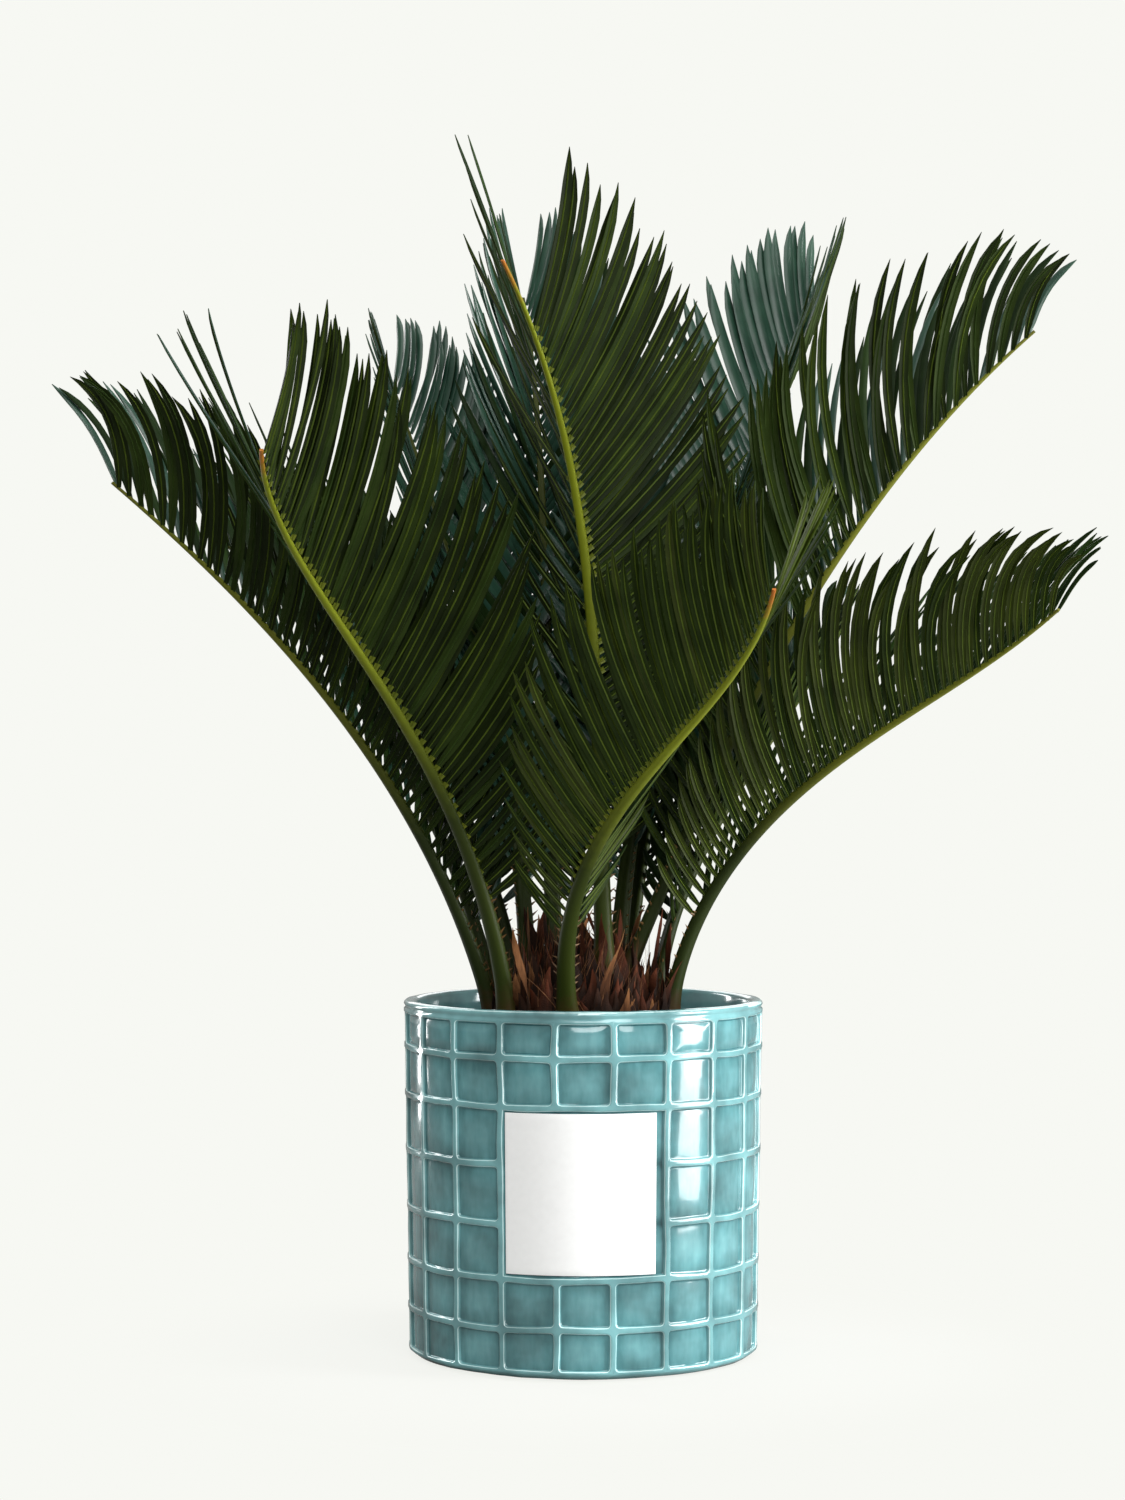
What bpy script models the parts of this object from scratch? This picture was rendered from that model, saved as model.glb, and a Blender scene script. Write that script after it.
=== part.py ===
"""A potted cycad, the sago palm: a round ceramic pot with a raised grid of ribs, a blank card on its front,
the potting soil, the trunk with its pointed scales, and the fronds, each a rib with leaflets on both sides.

Metres, +Z up. The origin is the centre of the pot's flat underside, and the card faces -Y. Angles round the
pot and the plant are counted in degrees from +X towards +Y.
"""
import math
from collections import namedtuple

import bmesh
import bpy
from mathutils import Vector
from mathutils.bvhtree import BVHTree

MM = 0.001
CLEAR = 0.3 * MM
SHARP_ANGLE = math.radians(35)

# The pot
POT_HEIGHT = 186 * MM
POT_RIM_RADIUS = 95 * MM
POT_FOOT_RADIUS = 92 * MM
POT_FLAT_RADIUS = 84 * MM
POT_WALL = 6.5 * MM
POT_FLOOR = 9 * MM
RIB_HEIGHT = 1.8 * MM
RIB_WIDTH = 4.4 * MM
RIM_BAND = 5 * MM
LIP_DROP = 2 * MM
LIP_BEVEL = 1.6 * MM
FOOT_BEVEL = (3.6 * MM, 1.2 * MM)
FOOT_BEVEL_TOP = 4 * MM
POT_COLUMNS = 20
POT_ROWS = [height * MM for height in (19, 25, 29, 30, 28, 25, 22)]
BLANK_COLUMNS = 3
BLANK_ROWS = (2, 5)
FRONT = -90

# The card on the pot
CARD_TURNS = (FRONT - 25.3, FRONT + 23)
CARD_HEIGHTS = (53 * MM, 134.5 * MM)
CARD_THICKNESS = 0.6 * MM
CARD_STEPS = 16

# The soil and the trunk
SOIL_HEIGHT = 168 * MM
SOIL_SIDE_CLEAR = 0.36 * MM
TRUNK_RADIUS = 47 * MM
TRUNK_HEIGHT = 38 * MM
TRUNK_BELLY = 4 * MM
TRUNK_SIDES = 24
TRUNK_LEVELS = 7
TRUNK_CURVE = 1.5
SCALE_LENGTH = 20 * MM
SCALE_SPREAD = 0.35
SCALE_LEAN = 0.75
GOLDEN_TURN = math.radians(137.5)
SCALE_SPARE = 1.12
SCALE_NORMAL_MIN = 0.05

# The fronds: where each foot stands on the dome, the rib's length in metres, its heading and its rise at
# the start, the middle and the end, its roll, its longest leaflet in metres, the last leaflet's share of
# that, how far a leaflet's end bows forward, and where along the blade its two rows end
FIELDS = "name foot_turn foot_height length headings rises roll leaflet last bow row_ends"
Frond = namedtuple("Frond", FIELDS, defaults=((1, 1),))
FRONDS = (
    Frond("left_low", 188, 174.5 * MM, 0.353, (-151, -154, -155), (74, 51, 38), 0, 0.116, 0.35, 16),
    Frond("left_front", 214, 175 * MM, 0.386, (-126, -128, -85), (80, 46, 28), 0, 0.134, 0.5, 12),
    Frond("tall_front", 308, 197 * MM, 0.388, (-117, -125, -119), (84, 81, 41), 26, 0.124, 0.5, 8, (0.8, 1)),
    Frond("right_front", 260, 176 * MM, 0.322, (-103, -56, -82), (71, 36, 40), 0, 0.114, 0.4, 12),
    Frond("right_high", 345, 195 * MM, 0.403, (-13, -15, -14), (67, 59, 40), 0, 0.138, 0.25, 24),
    Frond("right_low", 345, 175 * MM, 0.332, (-31, -38, -51), (84, 33, 32), 0, 0.116, 0.25, 28),
    Frond("back_right", 32, 195 * MM, 0.420, (56, 51, 50), (87, 59, 56), 0, 0.120, 0.45, 12),
    Frond("right_inner", 8, 183 * MM, 0.240, (14, 34, 50), (86, 52, 46), 0, 0.076, 0.4, 20),
    Frond("back_tall", 115, 187 * MM, 0.405, (102, 97, 105), (77, 78, 56), 0, 0.112, 0.45, 12),
    Frond("back_left", 152, 188 * MM, 0.390, (116, 119, 116), (87, 60, 53), 0, 0.096, 0.4, 14),
    Frond("back_low", 92, 175 * MM, 0.360, (92, 88, 84), (76, 44, 20), 0, 0.115, 0.4, 24),
    Frond("back_mid", 60, 178 * MM, 0.380, (62, 72, 74), (80, 52, 30), 0, 0.115, 0.4, 20),
    Frond("back_wide", 135, 175 * MM, 0.355, (136, 143, 146), (78, 50, 26), 0, 0.110, 0.4, 24),
    Frond("left_back", 165, 175 * MM, 0.300, (170, 170, 170), (80, 58, 44), 0, 0.096, 0.4, 24),
)
RIB_STEPS = 200
FOOT_OFFSET = 1.5 * MM
FOOT_HALF_WIDTH = 5.2 * MM
FOOT_HALF_HEIGHT = 4.4 * MM
STEM_HALF_WIDTH = 4.4 * MM
RIB_TAPER = 0.6
RIB_FLATNESS = 0.8
RIB_TIP_HALF_WIDTH = 0.9 * MM
STEM_SHARE = 0.2
STEM_STEPS = 4
STEM_FIRST = 0.035
STEM_LAST = 0.19
LEAFLET_PAIRS = 21
LEAFLET_WIDTH = 8.5 * MM
LEAFLET_ROOT = 5 * MM
LEAFLET_THICKNESS = 1.3 * MM
LEAFLET_BEND_SHARE = 0.68
LEAFLET_FIRST = 0.36
LEAFLET_GROWTH = 2.4
LEAFLET_SWEEPS = (60, 47, 29)
LEAFLET_LIFTS = (44, 50, 66)
LEAFLET_CROWDING = 1.3
LEAFLET_TRIES = (1.0, 0.8, 0.62, 0.48)
SPARE = 0.5 * MM

COLOURS = {
    "pot": ((0.10, 0.30, 0.33, 1), 0.22),
    "card": ((0.88, 0.88, 0.87, 1), 0.55),
    "soil": ((0.045, 0.030, 0.020, 1), 0.95),
    "trunk": ((0.16, 0.065, 0.03, 1), 0.85),
    "frond": ((0.022, 0.058, 0.014, 1), 0.45),
}


def clear_scene():
    for thing in list(bpy.data.objects):
        bpy.data.objects.remove(thing)


def material(name, kind):
    """A sub-part's own plain Principled material, in the colour and roughness of its kind."""
    colour, roughness = COLOURS[kind]
    made = bpy.data.materials.new(name)
    made.use_nodes = True
    shader = made.node_tree.nodes["Principled BSDF"]
    shader.inputs["Base Color"].default_value = colour
    shader.inputs["Roughness"].default_value = roughness
    shader.inputs["Metallic"].default_value = 0
    return made


def finish(name, mesh_in_work, kind):
    """Turns the working mesh into a named object with its material."""
    bmesh.ops.recalc_face_normals(mesh_in_work, faces=mesh_in_work.faces)
    bmesh.ops.triangulate(mesh_in_work, faces=mesh_in_work.faces)
    mesh = bpy.data.meshes.new(name)
    mesh_in_work.to_mesh(mesh)
    mesh_in_work.free()
    mesh.materials.append(material(name, kind))
    mesh.shade_smooth()
    mesh.set_sharp_from_angle(angle=SHARP_ANGLE)
    made = bpy.data.objects.new(name, mesh)
    bpy.context.scene.collection.objects.link(made)
    return made


def around(turn, radius, height):
    """The point at this angle, distance from the axis and height."""
    angle = math.radians(turn)
    return Vector((radius * math.cos(angle), radius * math.sin(angle), height))


def skin(bm, rings):
    """Joins equal rings of points by quads, and closes the first and the last ring with a face each."""
    loops = [[bm.verts.new(point) for point in ring] for ring in rings]
    sides = len(loops[0])
    for low, high in zip(loops, loops[1:]):
        for i in range(sides):
            j = (i + 1) % sides
            bm.faces.new((low[i], low[j], high[j], high[i]))
    bm.faces.new(list(reversed(loops[0])))
    bm.faces.new(loops[-1])
    return loops


def three_values(values, s):
    """A smooth value that passes through the three given ones at the start, the middle and the end."""
    first, middle, last = values
    return first * (1 - s) * (1 - 2 * s) + 4 * middle * s * (1 - s) + last * s * (2 * s - 1)


def pot_radius(height):
    """The outer radius of the wall's panels, without ribs."""
    share = height / POT_HEIGHT
    return POT_FOOT_RADIUS + (POT_RIM_RADIUS - POT_FOOT_RADIUS) * share - RIB_HEIGHT


def pot_turns():
    """The angles of the wall's lines and whether each is a rib's crest: edge, crest, edge for each rib."""
    pitch = 360 / POT_COLUMNS
    half = math.degrees(RIB_WIDTH / 2 / POT_RIM_RADIUS)
    lines = []
    for column in range(POT_COLUMNS):
        crest = FRONT + (column + 0.5) * pitch
        lines += [(crest - half, False, column), (crest, True, column), (crest + half, False, column)]
    return lines


def pot_levels():
    """The heights of the wall's lines from the rim down, each with its crest mark and its row."""
    height = POT_HEIGHT - RIM_BAND
    half = RIB_WIDTH / 2
    lines = [(height, True, 0)]
    for row, pitch in enumerate(POT_ROWS):
        lines.append((height - half, False, row))
        height -= pitch
        if row < len(POT_ROWS) - 1:
            lines += [(height + half, False, row), (height, True, row + 1)]
    return lines


def in_blank(column, row, crest_turn, crest_level):
    """Whether a rib's crest lies inside the smooth patch on the pot's front."""
    half = BLANK_COLUMNS // 2
    first, last = BLANK_ROWS
    across = column < half or column >= POT_COLUMNS - half
    inside_turns = across if crest_turn else (across or column in (half, POT_COLUMNS - half - 1))
    inside_rows = first < row < last if crest_level and not crest_turn else first <= row < last
    return inside_turns and inside_rows


def build_pot():
    turns = [turn for turn, _, _ in pot_turns()]
    rings = [[around(turn, POT_FLAT_RADIUS, 0) for turn in turns]]
    bevel_in, bevel_height = FOOT_BEVEL
    foot = ((POT_FOOT_RADIUS - bevel_in, bevel_height), (POT_FOOT_RADIUS - RIB_HEIGHT, FOOT_BEVEL_TOP))
    rings += [[around(turn, radius, height) for turn in turns] for radius, height in foot]
    for height, crest_level, row in reversed(pot_levels()):
        ring = []
        for turn, crest_turn, column in pot_turns():
            raised = (crest_turn or crest_level) and not in_blank(column, row, crest_turn, crest_level)
            ring.append(around(turn, pot_radius(height) + RIB_HEIGHT * raised, height))
        rings.append(ring)
    inner = POT_RIM_RADIUS - POT_WALL
    lip = (
        (POT_RIM_RADIUS, POT_HEIGHT - LIP_DROP),
        (POT_RIM_RADIUS - LIP_BEVEL, POT_HEIGHT),
        (inner + LIP_BEVEL, POT_HEIGHT),
        (inner, POT_HEIGHT - LIP_DROP),
        (POT_FOOT_RADIUS - POT_WALL - RIB_HEIGHT, POT_FLOOR),
    )
    rings += [[around(turn, radius, height) for turn in turns] for radius, height in lip]
    bm = bmesh.new()
    skin(bm, rings)
    return finish("pot", bm, "pot")


def pot_inner_radius(height):
    """The radius of the pot's inside at this height."""
    low = POT_FOOT_RADIUS - POT_WALL - RIB_HEIGHT
    high = POT_RIM_RADIUS - POT_WALL
    return low + (high - low) * (height - POT_FLOOR) / (POT_HEIGHT - LIP_DROP - POT_FLOOR)


def build_soil():
    """The filled space of the pot, 0.3 mm clear of its floor and wall all round."""
    turns = [turn for turn, _, _ in pot_turns()]
    low = POT_FLOOR + CLEAR
    heights = (low, SOIL_HEIGHT)
    bm = bmesh.new()
    skin(bm, [[around(turn, pot_inner_radius(h) - SOIL_SIDE_CLEAR, h) for turn in turns] for h in heights])
    return finish("soil", bm, "soil")


def build_card():
    """The blank card: a thin plate bent to the pot's curve, in front of the smooth patch."""
    first, last = CARD_TURNS
    low, high = CARD_HEIGHTS
    corners = ((CLEAR, low), (CLEAR + CARD_THICKNESS, low), (CLEAR + CARD_THICKNESS, high), (CLEAR, high))
    rings = []
    for step in range(CARD_STEPS + 1):
        turn = first + (last - first) * step / CARD_STEPS
        rings.append([around(turn, pot_radius(height) + out, height) for out, height in corners])
    bm = bmesh.new()
    skin(bm, rings)
    return finish("card", bm, "card")


def trunk_radius(height):
    """The dome's radius at a height above the pot's foot: a short straight base under a rounded cone."""
    above = height - SOIL_HEIGHT - CLEAR - TRUNK_BELLY
    if above < 0:
        return TRUNK_RADIUS + above / 4
    share = min(above / (TRUNK_HEIGHT - TRUNK_BELLY), 1)
    return TRUNK_RADIUS * (1 - share ** TRUNK_CURVE)


def trunk_heights():
    """The heights of the dome's rings, from its flat cut up."""
    bottom = SOIL_HEIGHT + CLEAR
    climb = TRUNK_HEIGHT - TRUNK_BELLY
    return [bottom] + [bottom + TRUNK_BELLY + climb * i / TRUNK_LEVELS for i in range(TRUNK_LEVELS)]


def trunk_point(turn, height):
    """The point on the dome's facet at this angle and height, and the facet's outward direction."""
    rings = trunk_heights()
    band = sum(ring <= height for ring in rings) - 1
    low, high = rings[band], rings[band + 1]
    pitch = 360 / TRUNK_SIDES
    first = turn // pitch * pitch
    corner = around(first, trunk_radius(low), low)
    next_corner = around(first + pitch, trunk_radius(low), low)
    upper_corner = around(first, trunk_radius(high), high)
    outward = (next_corner - corner).cross(upper_corner - corner).normalized()
    start, ray = Vector((0, 0, height)), around(turn, 1, 0)
    return start + ray * ((corner - start).dot(outward) / ray.dot(outward)), outward


class Section:
    """A place on a frond's rib: its point, the way along the rib, its side and its upper direction."""

    def __init__(self, point, along, side, upper, half_width, half_height):
        self.point = point
        self.along = along
        self.side = side
        self.upper = upper
        self.half_width = half_width
        self.half_height = half_height

    def corners(self):
        across = self.side * self.half_width
        up = self.upper * self.half_height
        return [self.point + across + up, self.point - across + up, self.point - across - up,
                self.point + across - up]


def direction(heading, rise):
    """The unit direction of this heading and angle above the level."""
    a, e = math.radians(heading), math.radians(rise)
    return Vector((math.cos(e) * math.cos(a), math.cos(e) * math.sin(a), math.sin(e)))


def rib_path(frond, shares):
    """Sections along a rib at the given shares of its length, found by following it from its foot."""
    foot, outward = trunk_point(frond.foot_turn, frond.foot_height)
    points = [foot + outward * FOOT_OFFSET]
    for i in range(RIB_STEPS):
        s = (i + 0.5) / RIB_STEPS
        step = direction(three_values(frond.headings, s), three_values(frond.rises, s))
        points.append(points[-1] + step * frond.length / RIB_STEPS)
    sections = []
    for s in shares:
        place = s * RIB_STEPS
        i = min(int(place), RIB_STEPS - 1)
        point = points[i].lerp(points[i + 1], place - i)
        along = direction(three_values(frond.headings, s), three_values(frond.rises, s))
        heading = math.radians(three_values(frond.headings, s))
        level = Vector((-math.sin(heading), math.cos(heading), 0))
        roll = math.radians(frond.roll * (1 - s))
        side = level * math.cos(roll) + along.cross(level) * math.sin(roll)
        upper = along.cross(side).normalized()
        half_width = STEM_HALF_WIDTH + (RIB_TIP_HALF_WIDTH - STEM_HALF_WIDTH) * s ** RIB_TAPER
        sections.append(Section(point, along, side, upper, half_width, RIB_FLATNESS * half_width))
    return sections


def foot_corners(frond):
    """The foot's face, laid flat against the trunk's facet with its clearance."""
    point, outward = trunk_point(frond.foot_turn, frond.foot_height)
    sideways = Vector((0, 0, 1)).cross(outward).normalized()
    up = outward.cross(sideways)
    heading = math.radians(frond.headings[0])
    level = Vector((-math.sin(heading), math.cos(heading), 0))
    if sideways.dot(level) < 0:
        sideways = -sideways
    centre = point + outward * CLEAR
    across, rise = sideways * FOOT_HALF_WIDTH, up * FOOT_HALF_HEIGHT
    return [centre + across + rise, centre - across + rise, centre - across - rise, centre + across - rise]


def leaflet_shares():
    """Where along the rib each pair of leaflets stands, as shares of the rib's length."""
    places = [(i + 0.5) / LEAFLET_PAIRS for i in range(LEAFLET_PAIRS)]
    return [1 - (1 - STEM_SHARE) * (1 - place) ** LEAFLET_CROWDING for place in places]


def leaflet_length(frond, t):
    """Short at the blade's start, longest from a third of it on, and short again at the very tip."""
    return frond.leaflet * min(1, LEAFLET_FIRST + LEAFLET_GROWTH * t) * (1 - (1 - frond.last) * t ** 3)


def leaflet_parts(frond, section, side, t, length):
    """The bend's centre, the tip, and the width and thickness directions of one leaflet."""
    sweep = math.radians(three_values(LEAFLET_SWEEPS, t))
    lift = math.radians(three_values(LEAFLET_LIFTS, t))
    outward = section.side * (side * math.cos(lift)) + section.upper * math.sin(lift)
    way = section.along * math.cos(sweep) + outward * math.sin(sweep)
    bow = math.radians(frond.bow)
    later = section.along * math.cos(sweep - bow) + outward * math.sin(sweep - bow)
    root = section.point + section.side * (side * section.half_width)
    bend = root + way * length * LEAFLET_BEND_SHARE
    tip = bend + later * length * (1 - LEAFLET_BEND_SHARE)
    forward = (section.along * math.sin(sweep) - outward * math.cos(sweep)).normalized()
    return root, bend, tip, forward, way.cross(forward).normalized()


def leaflet_probe(frond, section, side, t, length):
    """A slightly fatter copy of a leaflet, as points and faces, to test its space with."""
    root, bend, tip, forward, thick = leaflet_parts(frond, section, side, t, length)
    across = forward * (LEAFLET_WIDTH / 2 + SPARE)
    through = thick * (LEAFLET_THICKNESS / 2 + SPARE)
    points = [centre + sign_a * across + sign_t * through
              for centre in (root, bend) for sign_a, sign_t in ((1, 1), (-1, 1), (-1, -1), (1, -1))]
    points.append(tip + (tip - bend).normalized() * SPARE)
    faces = [(0, 1, 5, 4), (1, 2, 6, 5), (2, 3, 7, 6), (3, 0, 4, 7), (0, 1, 2, 3)]
    faces += [(4, 5, 8), (5, 6, 8), (6, 7, 8), (7, 4, 8)]
    return points, faces


def side_face(bm, loops, i, side):
    """The rib's face on one side, between the rings i and i + 1."""
    first, second = (0, 3) if side > 0 else (1, 2)
    wanted = {loops[i][first], loops[i][second], loops[i + 1][first], loops[i + 1][second]}
    return next(face for face in loops[i][first].link_faces if wanted == set(face.verts))


def grow_leaflet(bm, face, frond, section, side, t, length):
    """Draws a leaflet out of the rib's side face: out to its bend, then on to its point."""
    root, bend, tip, forward, thick = leaflet_parts(frond, section, side, t, length)
    outer = bmesh.ops.extrude_discrete_faces(bm, faces=[face])["faces"][0]
    for vert in outer.verts:
        offset = vert.co - root
        ahead = 1 if offset.dot(section.along) > 0 else -1
        above = 1 if offset.dot(section.upper) > 0 else -1
        turned = 1 if thick.dot(section.upper) > 0 else -1
        across = forward * (ahead * LEAFLET_WIDTH / 2)
        vert.co = bend + across + thick * (above * turned * LEAFLET_THICKNESS / 2)
    point = bmesh.ops.extrude_discrete_faces(bm, faces=[outer])["faces"][0]
    bmesh.ops.pointmerge(bm, verts=list(point.verts), merge_co=tip)


def faces_of(bm):
    """A mesh's points and faces as plain lists, for testing what comes near it."""
    bm.verts.index_update()
    return [v.co.copy() for v in bm.verts], [tuple(v.index for v in f.verts) for f in bm.faces]


def tree_of(bodies):
    """One search tree over several bodies."""
    points, faces = [], []
    for body_points, body_faces in bodies:
        start = len(points)
        points += body_points
        faces += [tuple(i + start for i in face) for face in body_faces]
    return BVHTree.FromPolygons(points, faces)


def hits(tree, body):
    return bool(tree.overlap(BVHTree.FromPolygons(*body)))


def rib_mesh(frond):
    """A frond's bare rib: its foot, the stem, two rings for each pair of leaflets, and the tip."""
    half_root = LEAFLET_ROOT / 2 / frond.length
    stem = [STEM_FIRST + (STEM_LAST - STEM_FIRST) * i / (STEM_STEPS - 1) for i in range(STEM_STEPS)]
    pairs = leaflet_shares()
    shares = stem + [s + sign * half_root for s in pairs for sign in (-1, 1)] + [1]
    rings = [foot_corners(frond)] + [section.corners() for section in rib_path(frond, shares)]
    bm = bmesh.new()
    loops = skin(bm, rings)
    return bm, loops, 1 + STEM_STEPS


def body_of(thing):
    mesh = thing.data
    return [v.co.copy() for v in mesh.vertices], [tuple(p.vertices) for p in mesh.polygons]


def build_fronds(still_bodies):
    """Grows each frond's leaflets in turn, keeping each clear of every other piece, or leaving it out."""
    ribs = {frond.name: rib_mesh(frond) for frond in FRONDS}
    rib_bodies = {name: faces_of(bm) for name, (bm, _, _) in ribs.items()}
    done = []
    for frond in FRONDS:
        bm, loops, first_ring = ribs[frond.name]
        others = [body for name, body in rib_bodies.items() if name != frond.name]
        tree = tree_of(still_bodies + others + done)
        sections = rib_path(frond, leaflet_shares())
        for i, section in enumerate(sections):
            t = (i + 0.5) / LEAFLET_PAIRS
            for side, row_end in zip((1, -1), frond.row_ends):
                tries = LEAFLET_TRIES if t < row_end else ()
                for share in tries:
                    length = leaflet_length(frond, t) * share
                    if not hits(tree, leaflet_probe(frond, section, side, t, length)):
                        face = side_face(bm, loops, first_ring + 2 * i, side)
                        grow_leaflet(bm, face, frond, section, side, t, length)
                        break
        done.append(faces_of(bm))
        finish("frond_" + frond.name, bm, "frond")


def grow_scale(bm, face, tree, index):
    """Draws one pointed scale up out of a face of the dome, where no stem stands in its way."""
    centre = face.calc_center_median()
    length = SCALE_LENGTH * (1 - SCALE_SPREAD + SCALE_SPREAD * math.sin(GOLDEN_TURN * index))
    way = (face.normal * SCALE_LEAN + Vector((0, 0, 1))).normalized()
    middle, tip = centre + way * length / 2, centre + way * length
    points = [vert.co.copy() for vert in face.verts]
    points += [middle + (vert.co - centre) / 2 for vert in face.verts] + [tip]
    sides = len(face.verts)
    faces = [(i, (i + 1) % sides, sides + (i + 1) % sides, sides + i) for i in range(sides)]
    faces += [(sides + i, sides + (i + 1) % sides, 2 * sides) for i in range(sides)]
    fat = [centre + (point - centre) * SCALE_SPARE for point in points]
    if hits(tree, (fat, faces)):
        return
    inner = bmesh.ops.extrude_discrete_faces(bm, faces=[face])["faces"][0]
    for vert in inner.verts:
        vert.co = middle + (vert.co - centre) / 2
    point = bmesh.ops.extrude_discrete_faces(bm, faces=[inner])["faces"][0]
    bmesh.ops.pointmerge(bm, verts=list(point.verts), merge_co=tip)


def build_trunk():
    """The domed trunk on its flat cut, with scales drawn out of its faces between the fronds' feet."""
    turns = [360 * i / TRUNK_SIDES for i in range(TRUNK_SIDES)]
    bm = bmesh.new()
    skin(bm, [[around(turn, trunk_radius(h), h) for turn in turns] for h in trunk_heights()])
    bmesh.ops.recalc_face_normals(bm, faces=bm.faces)
    bm.normal_update()
    ribs = tree_of([faces_of(rib_mesh(frond)[0]) for frond in FRONDS])
    sides = [face for face in bm.faces if len(face.verts) == 4 and face.normal.z > SCALE_NORMAL_MIN]
    for index, face in enumerate(sides):
        if index % 2 == (index // TRUNK_SIDES) % 2:
            grow_scale(bm, face, ribs, index)
    return finish("trunk", bm, "trunk")


def main():
    clear_scene()
    still = [build_pot(), build_soil(), build_card(), build_trunk()]
    build_fronds([body_of(thing) for thing in still])


main()
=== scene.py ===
# %% [markdown]
# # A sago palm in its glazed pot
# The plant and its pot come as a frame of plain solids at their true size. This script keeps that frame
# still and dresses it: a glazed pot with soft ribs, a blank paper card, crumbly soil, a scaly trunk, and
# fourteen fronds with fine leaflets. It is written in small steps, so that each one can be read, run and
# changed alone.

# %% Open the frame
import math
import random
from collections import namedtuple
from functools import lru_cache

import bpy
import numpy as np
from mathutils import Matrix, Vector, noise


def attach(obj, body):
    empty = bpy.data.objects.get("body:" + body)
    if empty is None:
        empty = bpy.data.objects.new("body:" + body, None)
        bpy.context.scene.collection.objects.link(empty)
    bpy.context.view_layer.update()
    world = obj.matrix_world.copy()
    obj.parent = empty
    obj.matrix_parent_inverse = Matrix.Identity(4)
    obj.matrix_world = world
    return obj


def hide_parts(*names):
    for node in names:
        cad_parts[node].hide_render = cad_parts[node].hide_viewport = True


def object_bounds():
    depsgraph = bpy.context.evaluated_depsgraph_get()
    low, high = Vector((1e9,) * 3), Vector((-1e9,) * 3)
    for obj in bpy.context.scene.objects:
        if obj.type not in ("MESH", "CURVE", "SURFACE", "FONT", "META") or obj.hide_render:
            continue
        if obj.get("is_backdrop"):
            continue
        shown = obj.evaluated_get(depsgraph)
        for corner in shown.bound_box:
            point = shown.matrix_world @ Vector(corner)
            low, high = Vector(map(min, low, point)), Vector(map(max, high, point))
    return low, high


MM = 0.001
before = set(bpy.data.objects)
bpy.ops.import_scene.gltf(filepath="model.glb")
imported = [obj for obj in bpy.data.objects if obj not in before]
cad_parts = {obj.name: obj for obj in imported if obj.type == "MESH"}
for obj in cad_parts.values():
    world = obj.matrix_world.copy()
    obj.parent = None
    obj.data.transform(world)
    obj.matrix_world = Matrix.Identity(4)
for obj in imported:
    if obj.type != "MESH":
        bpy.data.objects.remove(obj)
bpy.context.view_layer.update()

# %% [markdown]
# ## Camera
# The picture was taken from far off and level with the middle of the plant: the rim shows as a thin ellipse
# and the pot's sides stay almost parallel. A long lens from 1.8 m does the same. Blender's lens is given
# for a sensor 36 mm long, and the picture is 1500 pixels on that side, so a focal length in pixels turns
# into millimetres.

# %% Place the camera
PICTURE_HEIGHT = 1500
FOCAL_PIXELS = 3400
SENSOR = 36
bpy.ops.object.camera_add(location=(-0.0109, -1.8, 0.3173), rotation=(math.radians(90), 0, 0))
camera = bpy.context.object
camera.data.sensor_width = SENSOR
camera.data.lens = FOCAL_PIXELS / PICTURE_HEIGHT * SENSOR
bpy.context.scene.camera = camera
print("lens in mm:", round(camera.data.lens, 1))

# %% [markdown]
# ## Small helpers
# An operator works on everything that is selected, so each step starts from a clean selection. Fixed seeds
# keep every run the same. One builder makes each material: a Principled shader whose colour is a ramp over
# some value, with a little noise for life and a fine bump.

# %% Selection and working in edit mode
def set_mode(mode):
    bpy.ops.object.mode_set(mode=mode)


def select_only(thing):
    if bpy.context.mode != "OBJECT":
        set_mode("OBJECT")
    bpy.ops.object.select_all(action="DESELECT")
    thing.select_set(True)
    bpy.context.view_layer.objects.active = thing


def points_of(thing):
    """The mesh's points as an array with a row for each."""
    flat = np.empty(3 * len(thing.data.vertices))
    thing.data.vertices.foreach_get("co", flat)
    return flat.reshape(-1, 3)


def set_points(thing, points):
    thing.data.vertices.foreach_set("co", np.asarray(points, float).ravel())
    thing.data.update()


def select_parts(thing, kind, wanted):
    """Selects the faces or the points that pass the test, and no others, and stays in edit mode."""
    select_only(thing)
    set_mode("EDIT")
    bpy.ops.mesh.select_mode(type=kind)
    bpy.ops.mesh.select_all(action="DESELECT")
    set_mode("OBJECT")
    for part in thing.data.polygons if kind == "FACE" else thing.data.vertices:
        part.select = wanted(part)
    set_mode("EDIT")


def apply_modifier(thing, kind, **settings):
    """Adds a modifier, sets it up and applies it."""
    select_only(thing)
    bpy.ops.object.modifier_add(type=kind)
    modifier = thing.modifiers[-1]
    for name, value in settings.items():
        setattr(modifier, name, value)
    bpy.ops.object.modifier_apply(modifier=modifier.name)


def ripple(thing, size, strength):
    """Pushes the surface in and out by soft noise of this size, so that it isn't perfectly even."""
    clouds = bpy.data.textures.new("ripple", "CLOUDS")
    clouds.noise_scale = size
    apply_modifier(thing, "DISPLACE", texture=clouds, strength=strength, mid_level=0.5,
                   texture_coords="LOCAL")


def add_ring(move, scale, **settings):
    """Extrudes what is selected by this move, then scales the new ring."""
    bpy.ops.mesh.extrude_region_move(TRANSFORM_OT_translate={"value": move})
    bpy.ops.transform.resize(value=(scale, scale, 1), **settings)


def round_off(thing, degrees=40):
    """Smooth shading, with creases sharper than this angle kept."""
    select_only(thing)
    bpy.ops.object.shade_smooth_by_angle(angle=math.radians(degrees))


# %% Shader nodes
def feed(node, inputs):
    """Gives each input its value, or links it where it is given the socket of another node."""
    for name, value in inputs.items():
        if isinstance(value, bpy.types.NodeSocket):
            node.id_data.links.new(value, node.inputs[name])
        else:
            node.inputs[name].default_value = value


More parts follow.
